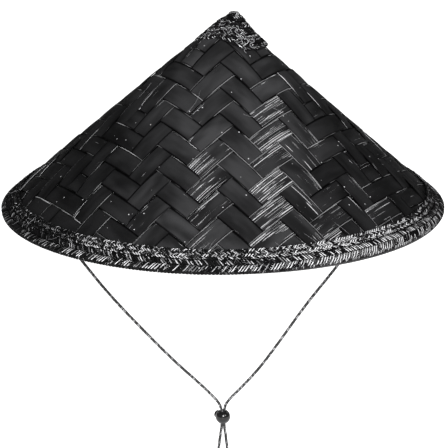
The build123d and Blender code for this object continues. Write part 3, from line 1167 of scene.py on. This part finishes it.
@dataclass
class UnderHoop:
    """The half-round cane hoop under the brim, with the strips that tie it to the weave.

    Attributes:
        form: the cone.
        start: distance of its lower side up the slope from the weave's lower edge.
        width: of its flat side.
        height: how far it stands in from the weave's inner face.
        ties: bands of lashing round the hat.
        strips: turns in each band.
        strip: thickness of the lashing.
    """

    form: ConeForm
    start: float = 1.5 * MM
    width: float = 6.4 * MM
    height: float = 2.6 * MM
    ties: int = 36
    strips: int = 4
    strip: float = 0.6 * MM

    def hoop(self, material: bpy.types.Material) -> None:
        """Make the cane, with a low ring at each joint of the stem."""
        rng = np.random.RandomState(11)
        count, corners = 720, 16
        theta = self.form.around(count)
        place = np.arange(corners) / (corners - 1)
        joint = np.exp(-(((np.arange(count) % 160 - 80) / 1.6) ** 2))
        vault = np.sqrt(np.clip(1.0 - (2 * place - 1.0) ** 2, 0.0, 1.0))
        tall = self.height * (0.90 + 0.05 * wander(rng, count, 40) + 0.05 * joint)
        rho = self.form.from_edge(self.start + self.width) + place[None, :] * self.width
        rho = np.broadcast_to(rho, (count, corners)).copy()
        lift = -2 * self.form.layer - tall[:, None] * vault[None, :]
        points = self.form.place(rho, np.broadcast_to(theta[:, None], rho.shape), lift)
        along = theta * self.form.slope_length
        across = place[None, :] * 9 * MM
        uv = np.stack([np.broadcast_to(part, rho.shape) for part in (along[:, None], across)], axis=-1)
        maker = MeshMaker()
        maker.grid(points, uv, True, seed=np.full(rho.shape, 3.0), split=np.full(rho.shape, 0.12))
        dress(maker.build("inner_rim_hoop_cane"), material, "hat", "cane_hoop", "inner_rim_hoop")

    def lashings(self, material: bpy.types.Material) -> None:
        """Wind the strips over the cane."""
        rng = np.random.RandomState(12)
        maker = MeshMaker()
        share = np.linspace(0.0, 1.0, 17)
        vault = np.clip(1.0 - (2 * share - 1.0) ** 2, 0.0, 1.0) ** 0.6
        for tie in range(self.ties):
            middle = (tie + 0.12) * 2 * math.pi * self.form.run / self.ties
            for strip in range(self.strips):
                offset = (strip - (self.strips - 1) / 2) * 2.15 * MM / self.form.slope_length
                lean = rng.uniform(0.8, 1.6) * MM / self.form.slope_length
                theta = middle + offset + lean * (share - 0.5)
                rho = self.form.from_edge(self.start - self.strip * 0.6)
                rho = rho - share * (self.width + 1.2 * self.strip)
                lift = -2 * self.form.layer + 0.15 * MM - (self.height + self.strip * 0.6) * vault
                path = self.form.place(rho, theta, lift)
                slope = np.gradient(lift) / np.gradient(-rho)
                face = unit(self.form.downward(theta) * slope[:, None] * -1.0 - self.form.outward(theta))
                pale = np.full(len(share), rng.uniform(0.05, 0.4))
                sweep_strand(maker, path, face, 1.0 * MM, 0.24 * MM, False, tie * 0.31 + strip, pale)
        dress(maker.build("inner_rim_lashings_wound"), material, "hat", "edge_binding", "inner_rim_lashings")

    def build(self, cane: bpy.types.Material, binding: bpy.types.Material) -> None:
        """Make the hoop and its lashings."""
        self.hoop(cane)
        self.lashings(binding)


@dataclass
class PeakCap:
    """The plaited cap: a spiral plait over a cone of bast, a proud edge row and a coiled tip.

    Attributes:
        form: the cone.
        rows: turns of the spiral.
        top: distance from the point at which the spiral ends.
        shift: how far the cap sits to the right of the weave's point.
        tip_shift: how much further the tip does.
    """

    form: ConeForm
    rows: float = 4.0
    top: float = 8.0 * MM
    shift: float = 2.8 * MM
    tip_shift: float = 4.2 * MM

    def edge(self, theta: np.ndarray) -> np.ndarray:
        """Distance from the point of the cap's lower edge: high on the front left, low on the right."""
        turn = np.degrees(self.form.azimuth(theta))
        places = (-180, -150, -120, -90, -60, -30, 0, 60, 120)
        return np.interp(turn, places, (42, 35, 30, 33.5, 44, 46, 47, 45, 42), period=360) * MM

    def place(self, rho: np.ndarray, theta: np.ndarray, lift: np.ndarray) -> np.ndarray:
        """Points of the cap, moved over with it."""
        points = self.form.place(rho, theta, lift)
        points[..., 0] += self.shift + self.tip_shift * np.clip(1.0 - rho / (30 * MM), 0.0, 1.0) ** 1.5
        return points

    def base(self, material: bpy.types.Material) -> None:
        """Make the cone of bast under the plait, and its lining inside the weave."""
        rng = np.random.RandomState(31)
        count = 180
        theta = self.form.around(count)
        share = np.array([0.0, 0.25, 0.5, 0.75, 1.0])
        outer = self.top * 0.35 + (self.edge(theta)[:, None] - 2.0 * MM - self.top * 0.35) * share[None, :]
        lift_out = (2.4 - 1.6 * share)[None, :] * MM + 0.2 * MM * wander(rng, count, 6)[:, None]
        rho = np.concatenate([outer, outer[:, ::-1]], axis=1)
        lift = np.concatenate([lift_out, np.full_like(lift_out, -0.6 * MM)], axis=1)
        points = self.place(rho, np.broadcast_to(theta[:, None], rho.shape), lift)
        uv = np.stack([rho, np.broadcast_to(theta[:, None] * 20 * MM, rho.shape)], axis=-1)
        maker = MeshMaker()
        maker.grid(points, uv, True, seed=np.full(rho.shape, 1.0), split=np.full(rho.shape, 0.15))
        outer = (12.0 + 46.0 * np.broadcast_to(share[None, :], outer.shape)) * MM
        rho = np.concatenate([outer, outer[:, ::-1]], axis=1)
        lift = np.concatenate([np.full_like(outer, -2.0 * MM), np.full_like(outer, -2.3 * MM)], axis=1)
        lining = self.form.place(rho, np.broadcast_to(theta[:, None], rho.shape), lift)
        maker.grid(lining, uv, True, seed=np.full(rho.shape, 2.0), split=np.full(rho.shape, 0.05))
        dress(maker.build("peak_cap_bast"), material, "hat", "peak_plait")

    def spiral(self, material: bpy.types.Material) -> None:
        """Plait the spiral from the edge row up to the tip."""
        rng = np.random.RandomState(32)
        maker = MeshMaker()
        count = 1500
        share = np.linspace(0.0, 1.0, count)
        theta = -share * self.rows * 2 * math.pi * self.form.run + self.form.front_theta
        whole = self.form.run * 2 * math.pi
        place = theta % whole
        edge = self.edge(place) - 6.6 * MM
        gap = (edge - self.top) / self.rows
        rho = edge + (self.top - edge) * share
        radius = rho * self.form.run + 3 * MM
        step = np.abs(np.gradient(theta)) / self.form.run * radius
        turn = np.cumsum(step) / (14 * MM) * 2 * math.pi
        for strand in range(5):
            phase = turn + strand * 2 * math.pi / 5
            sway = gap * 0.32 * np.sin(phase) * (1.0 + 0.3 * wander(rng, count, 23))
            lift = (1.2 + 1.9 * share) * MM + 0.55 * MM * np.sin(2 * phase)
            lift = lift + 0.2 * MM * wander(rng, count, 17)
            path = self.place(np.maximum(rho + sway, 5.0 * MM), place, lift)
            pale = strand_value(rng, count, 18, np.full(count, 0.42))
            face = self.form.outward(place)
            sweep_strand(maker, path, face, 1.15 * MM, 0.45 * MM, False, 31 + strand, pale)
        dress(maker.build("peak_cap_braid_spiral"), material, "hat", "peak_plait", "peak_cap_braid")

    def edge_row(self, material: bpy.types.Material) -> None:
        """Plait the proud row round the cap's lower edge."""
        rng = np.random.RandomState(33)
        maker = MeshMaker()
        samples, periods = 20, 14
        count = samples * periods
        theta = self.form.around(count)
        turn = np.arange(count) * 2 * math.pi / samples
        rho = self.edge(theta) - 3.4 * MM
        for strand in range(5):
            phase = turn + strand * 2 * math.pi / 5
            sway = 2.3 * MM * np.sin(phase) * (1.0 + 0.25 * wander(rng, count, samples))
            lift = (1.25 + 0.75 * np.sin(2 * phase) + 0.2 * wander(rng, count, samples)) * MM
            path = self.place(rho + sway, theta, lift)
            pale = strand_value(rng, count, samples // 2, np.full(count, 0.42))
            sweep_strand(maker, path, self.form.outward(theta), 1.15 * MM, 0.45 * MM, True, 41 + strand, pale)
        dress(maker.build("peak_edge_braid_plait"), material, "hat", "peak_plait", "peak_edge_braid")

    def tip(self, material: bpy.types.Material) -> None:
        """Coil the flat little knot on top."""
        rng = np.random.RandomState(34)
        maker = MeshMaker()
        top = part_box("peak_tip_knot")[1].z
        middle = self.place(np.array([4.0 * MM]), np.array([self.form.front_theta]), np.array([0.0]))[0]
        for ring, (coil, rope, height) in enumerate(((4.6, 1.5, 3.4), (3.5, 1.35, 1.75), (1.3, 1.2, 1.5))):
            count = 120
            turn = np.arange(count) * 2 * math.pi / count
            for strand in range(3):
                phase = turn * (4 if ring < 2 else 2) + strand * 2 * math.pi / 3
                away = (coil + (rope - 0.7) * np.cos(phase)) * MM
                path = np.stack(
                    [
                        middle[0] + away * np.cos(turn),
                        away * np.sin(turn),
                        top - height * MM + (rope - 0.75) * MM * np.sin(phase),
                    ],
                    axis=-1,
                )
                level = np.cos(phase)
                face = np.stack([np.cos(turn) * level, np.sin(turn) * level, np.sin(phase)], axis=-1)
                pale = strand_value(rng, count, 12, np.full(count, 0.42))
                sweep_strand(maker, path, face, 0.95 * MM, 0.5 * MM, True, 51 + ring * 3 + strand, pale)
        dress(maker.build("peak_tip_knot_coil"), material, "hat", "peak_plait", "peak_tip_knot")

    def loops(self, loose: bpy.types.Material) -> None:
        """Add the loose ends of strand that stand out of the cap, most of them on the front right."""
        rng = np.random.RandomState(35)
        maker = MeshMaker()
        share = np.linspace(0.0, 1.0, 26)
        for loop in range(18):
            azimuth = math.radians(-90 + (rng.normal(24, 20) if loop % 2 else rng.uniform(-180, 180)))
            theta = self.form.front_theta + (azimuth + math.pi / 2) * self.form.run
            rho = self.edge(np.array([theta]))[0] * rng.uniform(0.45, 1.12)
            size = rng.uniform(1.6, 3.4) * MM
            start, sweep = rng.uniform(0, 2 * math.pi), rng.uniform(2.2, 5.2)
            angle = start + share * sweep
            base = (1.6 + 1.6 * (1.0 - rho / (44 * MM))) * MM
            lift = base + rng.uniform(0.6, 1.6) * MM * np.sin(math.pi * share)
            path = self.place(rho + size * np.sin(angle), theta + size * np.cos(angle) / rho, lift)
            pale = np.full(len(share), rng.uniform(0.6, 1.0))
            face = self.form.outward(np.full(len(share), theta))
            sweep_strand(maker, path, face, 0.30 * MM, 0.2 * MM, False, 61 + loop, pale)
        dress(maker.build("peak_cap_loose_ends"), loose, "hat", "peak_plait")

    def build(self, material: bpy.types.Material, loose: bpy.types.Material) -> None:
        """Make the whole cap."""
        self.base(material)
        self.edge_row(material)
        self.spiral(material)
        self.tip(material)
        self.loops(loose)


@dataclass
class StrayFibres:
    """Thin fibres that have come loose along the brim's plaits and between the splints.

    Attributes:
        form: the cone.
        brim: fibres on the brim's plaits.
        slope: fibres on the splints.
    """

    form: ConeForm
    brim: int = 90
    slope: int = 9

    def build(self, material: bpy.types.Material) -> None:
        """Scatter the fibres."""
        rng = np.random.RandomState(71)
        maker = MeshMaker()
        for number in range(self.brim + self.slope):
            on_brim = number < self.brim
            length = rng.uniform(5, 15) * MM if on_brim else rng.uniform(12, 34) * MM
            theta = rng.uniform(0, 2 * math.pi * self.form.run)
            if on_brim:
                rho = self.form.from_edge(rng.uniform(2, 20) * MM)
                heading = rng.uniform(0, 2 * math.pi)
            else:
                rho = rng.uniform(0.22, 0.9) * self.form.slope_length
                heading = rng.choice([-1, 1]) * math.pi / 4 + rng.normal(0, 0.12)
            share = np.linspace(0.0, 1.0, 12)
            bend = heading + rng.uniform(-0.9, 0.9) * share
            step = length / 12
            down = rho + np.cumsum(np.sin(bend)) * step - step
            side = theta + np.cumsum(np.cos(bend)) * step / rho
            down = np.minimum(down, self.form.slope_length)
            base = 2.2 * MM if on_brim else 0.5 * MM
            lift = base + rng.uniform(0.5, 1.5) * MM * share**1.5 * (1.0 if on_brim else 0.6)
            path = self.form.place(down, side, lift)
            radius = np.broadcast_to((0.17 * MM * (1.0 - 0.6 * share))[:, None], (12, 5))
            round_along(maker, path, radius, 5, False)
        piece = maker.build("stray_fibres")
        dress(piece, material, "hat", "brim_plait")


# ---- chin cord ---------------------------------------------------------------------------------
class Body(Enum):
    """The rigid bodies that the cord hangs between."""

    HAT = "hat"
    LOCK = "cord_lock"
    ENDS = "cord_ends"


@dataclass(frozen=True)
class Run:
    """One run of the cord between two bodies.

    Attributes:
        name: CAD node that it stands for.
        knot: CAD node of the knot on its free or fixed end.
        above: body that holds its upper end.
        below: body that holds its lower end; not used.
        length: real length in metres; not used.
        points: route in the frame, in metres.
    """

    name: str
    knot: str
    above: Body
    below: Body
    length: float
    points: tuple


RUNS = (
    Run(
        "left_leg_cord",
        "left_anchor_knot",
        Body.HAT,
        Body.LOCK,
        0.295,
        (
            (-0.1830, 0.0, -0.0758),
            (-0.1603, 0.0, -0.1093),
            (-0.1353, 0.0, -0.1438),
            (-0.1121, 0.0, -0.1748),
            (-0.0863, 0.0, -0.2045),
            (-0.0490, 0.0, -0.2448),
            (-0.0225, 0.0, -0.2698),
            (-0.0074, -0.0004, -0.2850),
            (-0.0011, -0.0009, -0.2943),
            (-0.0011, -0.0009, -0.3043),
        ),
    ),
    Run(
        "right_leg_cord",
        "right_anchor_knot",
        Body.HAT,
        Body.LOCK,
        0.296,
        (
            (0.1695, 0.0, -0.0638),
            (0.1430, 0.0, -0.1008),
            (0.1120, 0.0, -0.1463),
            (0.0805, 0.0, -0.1873),
            (0.0544, 0.0, -0.2268),
            (0.0356, 0.0, -0.2538),
            (0.0166, 0.0, -0.2753),
            (0.0060, 0.0004, -0.2864),
            (0.0011, 0.0009, -0.2943),
            (0.0011, 0.0009, -0.3043),
        ),
    ),
    Run(
        "left_tail_cord",
        "left_end_knot",
        Body.LOCK,
        Body.ENDS,
        0.035,
        (
            (-0.0011, -0.0009, -0.3043),
            (-0.0011, -0.0009, -0.3143),
            (-0.0024, -0.0010, -0.3223),
            (-0.0035, -0.0006, -0.3308),
            (-0.0043, 0.0002, -0.3393),
        ),
    ),
    Run(
        "right_tail_cord",
        "right_end_knot",
        Body.LOCK,
        Body.ENDS,
        0.033,
        (
            (0.0011, 0.0009, -0.3043),
            (0.0011, 0.0009, -0.3143),
            (0.0025, 0.0009, -0.3218),
            (0.0032, 0.0004, -0.3298),
            (0.0042, -0.0001, -0.3373),
        ),
    ),
)


@dataclass
class ChinCord:
    """The braided cord: two legs down to the ball lock, two tails below it, and four knots.

    Attributes:
        diameter: of the cord.
        carriers: bundles of yarn that wind each way.
        cell: length along the cord of one crossing.
        relief: depth between two bundles.
    """

    diameter: float = 2.6 * MM
    carriers: int = 5
    cell: float = 1.9 * MM
    relief: float = 0.16 * MM

    def line(self, run: Run) -> np.ndarray:
        """Read the points of a run's smooth line."""
        curve = bpy.data.curves.new(run.name + "_line", "CURVE")
        curve.dimensions = "3D"
        curve.resolution_u = 48
        spline = curve.splines.new("NURBS")
        spline.points.add(len(run.points) - 1)
        for point, place in zip(spline.points, run.points):
            point.co = (*place, 1.0)
        spline.order_u = 3
        spline.use_endpoint_u = True
        holder = bpy.data.objects.new(run.name + "_line", curve)
        mesh = bpy.data.meshes.new_from_object(holder)
        points = np.array([vertex.co[:] for vertex in mesh.vertices])
        bpy.data.objects.remove(holder)
        bpy.data.meshes.remove(mesh)
        bpy.data.curves.remove(curve)
        return points

    def tube(
        self, maker: MeshMaker, points: np.ndarray, step: float, radius: float, closed: bool = False
    ) -> None:
        """Sweep the braid along a line.

        Args:
            maker: mesh that takes it.
            points: points of the line.
            step: distance between rings.
            radius: of the braid.
            closed: whether the line is a loop.
        """
        lengths = np.concatenate([[0.0], np.cumsum(np.linalg.norm(np.diff(points, axis=0), axis=1))])
        count = max(int(lengths[-1] / step), 8)
        place = np.linspace(0.0, lengths[-1], count, endpoint=not closed)
        path = np.stack([np.interp(place, lengths, points[:, axis]) for axis in range(3)], axis=-1)
        corners = self.carriers * 6
        angle = np.arange(corners) / corners
        right = self.carriers * angle[None, :] + place[:, None] / (2 * self.cell)
        left = self.carriers * angle[None, :] - place[:, None] / (2 * self.cell)
        over = (np.floor(right) + np.floor(left)) % 2 == 0
        along = np.where(over, left % 1.0, right % 1.0)
        across = np.where(over, right % 1.0, left % 1.0)
        hump = (1.0 - np.abs(2 * across - 1.0) ** 2.5) * (0.35 + 0.65 * np.sin(math.pi * along))
        round_along(maker, path, radius - self.relief + self.relief * hump, corners, closed)

    def knot(self, run: Run, line: np.ndarray, material: bpy.types.Material) -> bpy.types.Object:
        """Tie the knot on a run's end.

        Args:
            run: the run of cord.
            line: points of its line.
            material: of the cord.

        Returns:
            The knot, drawn tight.
        """
        low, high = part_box(run.knot)
        middle = np.array((low + high) / 2)
        at_top = run.above is Body.HAT
        ends = (line[0], line[6]) if at_top else (line[-1], line[-7])
        axis = unit(np.asarray(ends[1]) - np.asarray(ends[0]))
        if at_top:
            middle = middle + axis * 0.5 * MM
        side = unit(np.cross(axis, np.array([0.3, 1.0, 0.1])))
        other = np.cross(axis, side)
        turn = np.linspace(0.0, 2 * math.pi, 121)
        loop = 0.66 * MM
        flat = np.stack(
            [
                np.sin(turn) + 2 * np.sin(2 * turn),
                np.cos(turn) - 2 * np.cos(2 * turn),
                -1.5 * np.sin(3 * turn),
            ],
            axis=-1,
        )
        points = middle + loop * (flat[:, 0:1] * side + flat[:, 1:2] * other + flat[:, 2:3] * axis)
        maker = MeshMaker()
        self.tube(maker, points, 0.35 * MM, 1.12 * MM, closed=True)
        stub = np.linspace(-3.1 if not at_top else -1.2, 2.4, 14)[:, None] * MM * axis + middle
        self.tube(maker, stub, 0.35 * MM, 1.22 * MM)
        piece = maker.build(run.knot + "_tied")
        body = Body.HAT if at_top else Body.ENDS
        dress(piece, material, body.value, "chin_cord", run.knot)
        return piece

    def build(self, material: bpy.types.Material) -> None:
        """Make the four runs and their knots."""
        for run in RUNS:
            line = self.line(run)
            maker = MeshMaker()
            self.tube(maker, line, 0.33 * MM, self.diameter / 2 + 0.13 * MM)
            piece = maker.build(run.name + "_braided")
            piece.data.materials.append(material)
            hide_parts(run.name)
            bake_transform(piece)
            knot = self.knot(run, line, material)
            on_it = [knot]
            if run.name == "left_leg_cord":
                lock = ("cord_lock_body", "cord_lock_button", "cord_lock_spring")
                on_it += [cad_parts[name] for name in lock]
            LOG.info("%s: %d faces", piece.name, len(piece.data.polygons))


@dataclass
class SpringCoil:
    """The lock's spring, which shortens as the button is pressed.

    Attributes:
        axis: direction from the spring to the button.
        depth: distance of the bore's bottom from the ball's middle.
        length: from the middle of the wire at one end to the other.
        radius: of the coil.
        wire: radius of the wire.
        turns: of the coil.
    """

    axis: tuple = (-0.6198, 0.7848, 0.0)
    depth: float = 5.0 * MM
    length: float = 2.0 * MM
    radius: float = 2.4 * MM
    wire: float = 0.2 * MM
    turns: float = 2.5

    def build(self, material: bpy.types.Material) -> None:
        """Wind the coil."""
        low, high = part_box("cord_lock_body")
        axis = np.array(self.axis)
        side = np.cross((0.0, 0.0, 1.0), axis)
        bottom = np.array((low + high) / 2) - axis * self.depth
        share = np.linspace(0.0, 1.0, 90)[:, None]
        angle = share * self.turns * 2 * math.pi
        path = bottom + axis * (self.wire + share * self.length)
        path = path + self.radius * (np.cos(angle) * side + np.sin(angle) * np.array((0.0, 0.0, 1.0)))
        maker = MeshMaker()
        round_along(maker, path, np.full((90, 10), self.wire), 10, False)
        piece = maker.build("cord_lock_spring_coil")
        dress(piece, material, "cord_lock", "spring_steel", "cord_lock_spring")
        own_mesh(piece)


@dataclass
class CarriedNodes:
    """The CAD nodes that stay as they are, with their finishes."""

    def build(self, effects: Effects) -> None:
        """Give each of them its material."""
        splint = AxisSplint("ring splint").build(effects)
        cane = AxisSplint("hoop cane", dark=0.014, light=0.2).build(effects)
        gloss = BlackGloss("lock plastic").build()
        button = BlackGloss("button plastic", roughness=0.2).build()
        for name, material in (
            ("head_ring_inner_hoop", splint),
            ("head_ring_outer_hoop", splint),
            ("head_ring_hangers", splint),
            ("rim_hoop", cane),
            ("cord_lock_body", gloss),
            ("cord_lock_button", button),
        ):
            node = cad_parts[name]
            node.data.materials.clear()
            node.data.materials.append(material)
            LOG.info("%s keeps its form, in %s", name, material.name)


# ---- studio -------------------------------------------------------------------------------------
@dataclass
class Studio:
    """Camera, lights, floor and surroundings.

    Attributes:
        distance: from the camera to the middle of the brim.
        elevation: of the camera above the brim's plane, in degrees.
        lens: focal length on a sensor of the standard width.
        aim_down: how far under the brim's middle the camera looks.
        aim_right: how far to the right of it.
        lights: name, place, side in metres and power in watts of each square light.
        surroundings: brightness of the world.
        floor_side: side of the floor.
        floor_drop: how far the floor lies below the cord's lowest point.
        floor_glow: brightness of the floor's own light.
    """

    distance: float = 2.2
    elevation: float = 16.75
    lens: float = 185.7
    aim_down: float = 20.0 * MM
    aim_right: float = 1.0 * MM
    lights: tuple = (
        ("key", (0.25, -2.3, 1.0), 0.8, 86.0),
        ("right", (1.6, -1.5, 1.2), 0.6, 16.0),
        ("top", (0.0, -0.8, 2.3), 0.5, 8.0),
        ("back_left", (-1.7, 1.3, 1.0), 1.0, 3.0),
        ("back_right", (1.7, 1.3, 1.0), 1.0, 4.0),
    )
    surroundings: float = 0.12
    floor_side: float = 14.0
    floor_drop: float = 12 * MM
    floor_glow: float = 0.92

    def camera(self) -> bpy.types.Object:
        """Place the camera in front of the hat, a little above it."""
        low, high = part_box("rim_binding")
        middle = (low + high) / 2
        tilt = math.radians(self.elevation)
        data = bpy.data.cameras.new("camera")
        data.lens = self.lens
        camera = bpy.data.objects.new("camera", data)
        bpy.context.scene.collection.objects.link(camera)
        camera.location = middle + Vector((0, -math.cos(tilt), math.sin(tilt))) * self.distance
        target = middle + Vector((self.aim_right, 0, -self.aim_down))
        look = (target - camera.location).to_track_quat("-Z", "Y")
        camera.rotation_mode = "QUATERNION"
        camera.rotation_quaternion = look
        bpy.context.scene.camera = camera
        return camera

    def light(self, name: str, place: tuple, size: float, power: float) -> None:
        """Hang a square soft light that faces the hat."""
        data = bpy.data.lights.new(name, "AREA")
        data.size = size
        data.energy = power
        lamp = bpy.data.objects.new(name, data)
        bpy.context.scene.collection.objects.link(lamp)
        lamp.location = place
        lamp.rotation_mode = "QUATERNION"
        lamp.rotation_quaternion = (-Vector(place)).to_track_quat("-Z", "Y")

    def build(self) -> None:
        """Set up the whole studio."""
        self.camera()
        for name, place, size, power in self.lights:
            self.light(name, place, size, power)
        world = bpy.data.worlds.new("studio")
        world.use_nodes = True
        background = world.node_tree.nodes["Background"]
        background.inputs["Color"].default_value = (1, 1, 1, 1)
        background.inputs["Strength"].default_value = self.surroundings
        bpy.context.scene.world = world
        bpy.context.scene.view_settings.view_transform = "Standard"
        material, _, shader = new_material("paper floor")
        shader.inputs["Base Color"].default_value = (0.92, 0.92, 0.92, 1.0)
        shader.inputs["Roughness"].default_value = 0.9
        shader.inputs["Emission Color"].default_value = (1, 1, 1, 1)
        shader.inputs["Emission Strength"].default_value = self.floor_glow
        height = CAD_BOUNDS[0].z - self.floor_drop
        bpy.ops.mesh.primitive_plane_add(size=self.floor_side, location=(0, 0, height))
        floor = bpy.context.object
        floor.name = "floor"
        floor.data.materials.append(material)


def main() -> None:
    """Build the hat piece by piece."""
    logging.basicConfig(level=logging.INFO, format="%(name)s %(message)s")
    form = ConeForm()
    Studio().build()
    effects = Effects(fibre_group(), speck_group())
    ChinCord().build(BraidedCord().build(effects))
    SplintWeave(form).build(effects)
    plait = StainedSplint("plaited splint", dark=0.005, light=0.60, ridge=0.48 * MM).build(effects, True)
    binding = StainedSplint("edge binding", dark=0.006, ridge=0.5 * MM).build(effects, True)
    cane = StainedSplint("cane", dark=0.013, light=0.3, roughness=0.35, gloss=0.3).build(effects, True)
    peak = StainedSplint("peak plait", dark=0.005, light=0.6, ridge=0.34 * MM).build(effects, True)
    loose = StainedSplint("loose fibre", dark=0.16, light=0.6).build(effects)
    rows = (
        LaidRow(
            form, "lower_brim_braid", start=-2.9 * MM, base=0.2 * MM, height=2.2 * MM,
            periods=116, strands=4, seed=101, brightness=1.25, width=6.4 * MM, hand=Hand.LEFT,
        ),
        LaidRow(
            form, "middle_brim_braid", start=3.7 * MM, base=0.0, height=2.3 * MM,
            periods=121, strands=4, seed=102, brightness=0.75, width=5.6 * MM,
        ),
        FlatPlait(
            form, "upper_brim_braid", start=9.6 * MM, base=0.0, height=2.3 * MM,
            periods=118, strands=4, seed=103, brightness=0.85, width=5.2 * MM,
        ),
        FlatPlait(
            form, "upper_brim_braid", start=14.4 * MM, base=0.0, height=2.2 * MM,
            periods=112, strands=4, seed=105, brightness=0.80, width=5.4 * MM, second=True,
        ),
        FlatPlait(
            form, "inner_edge_braid", start=10.0 * MM, base=-2.0 * MM, height=-2.0 * MM,
            periods=78, strands=5, seed=104, brightness=0.4,
        ),
    )
    for row in rows:
        row.build(plait, "brim_plait")
    RolledEdge(form).build(binding)
    UnderHoop(form).build(cane, binding)
    PeakCap(form).build(peak, loose)
    StrayFibres(form).build(loose)
    SpringCoil().build(SpringWire().build())
    CarriedNodes().build(effects)


if __name__ == "__main__":
    main()
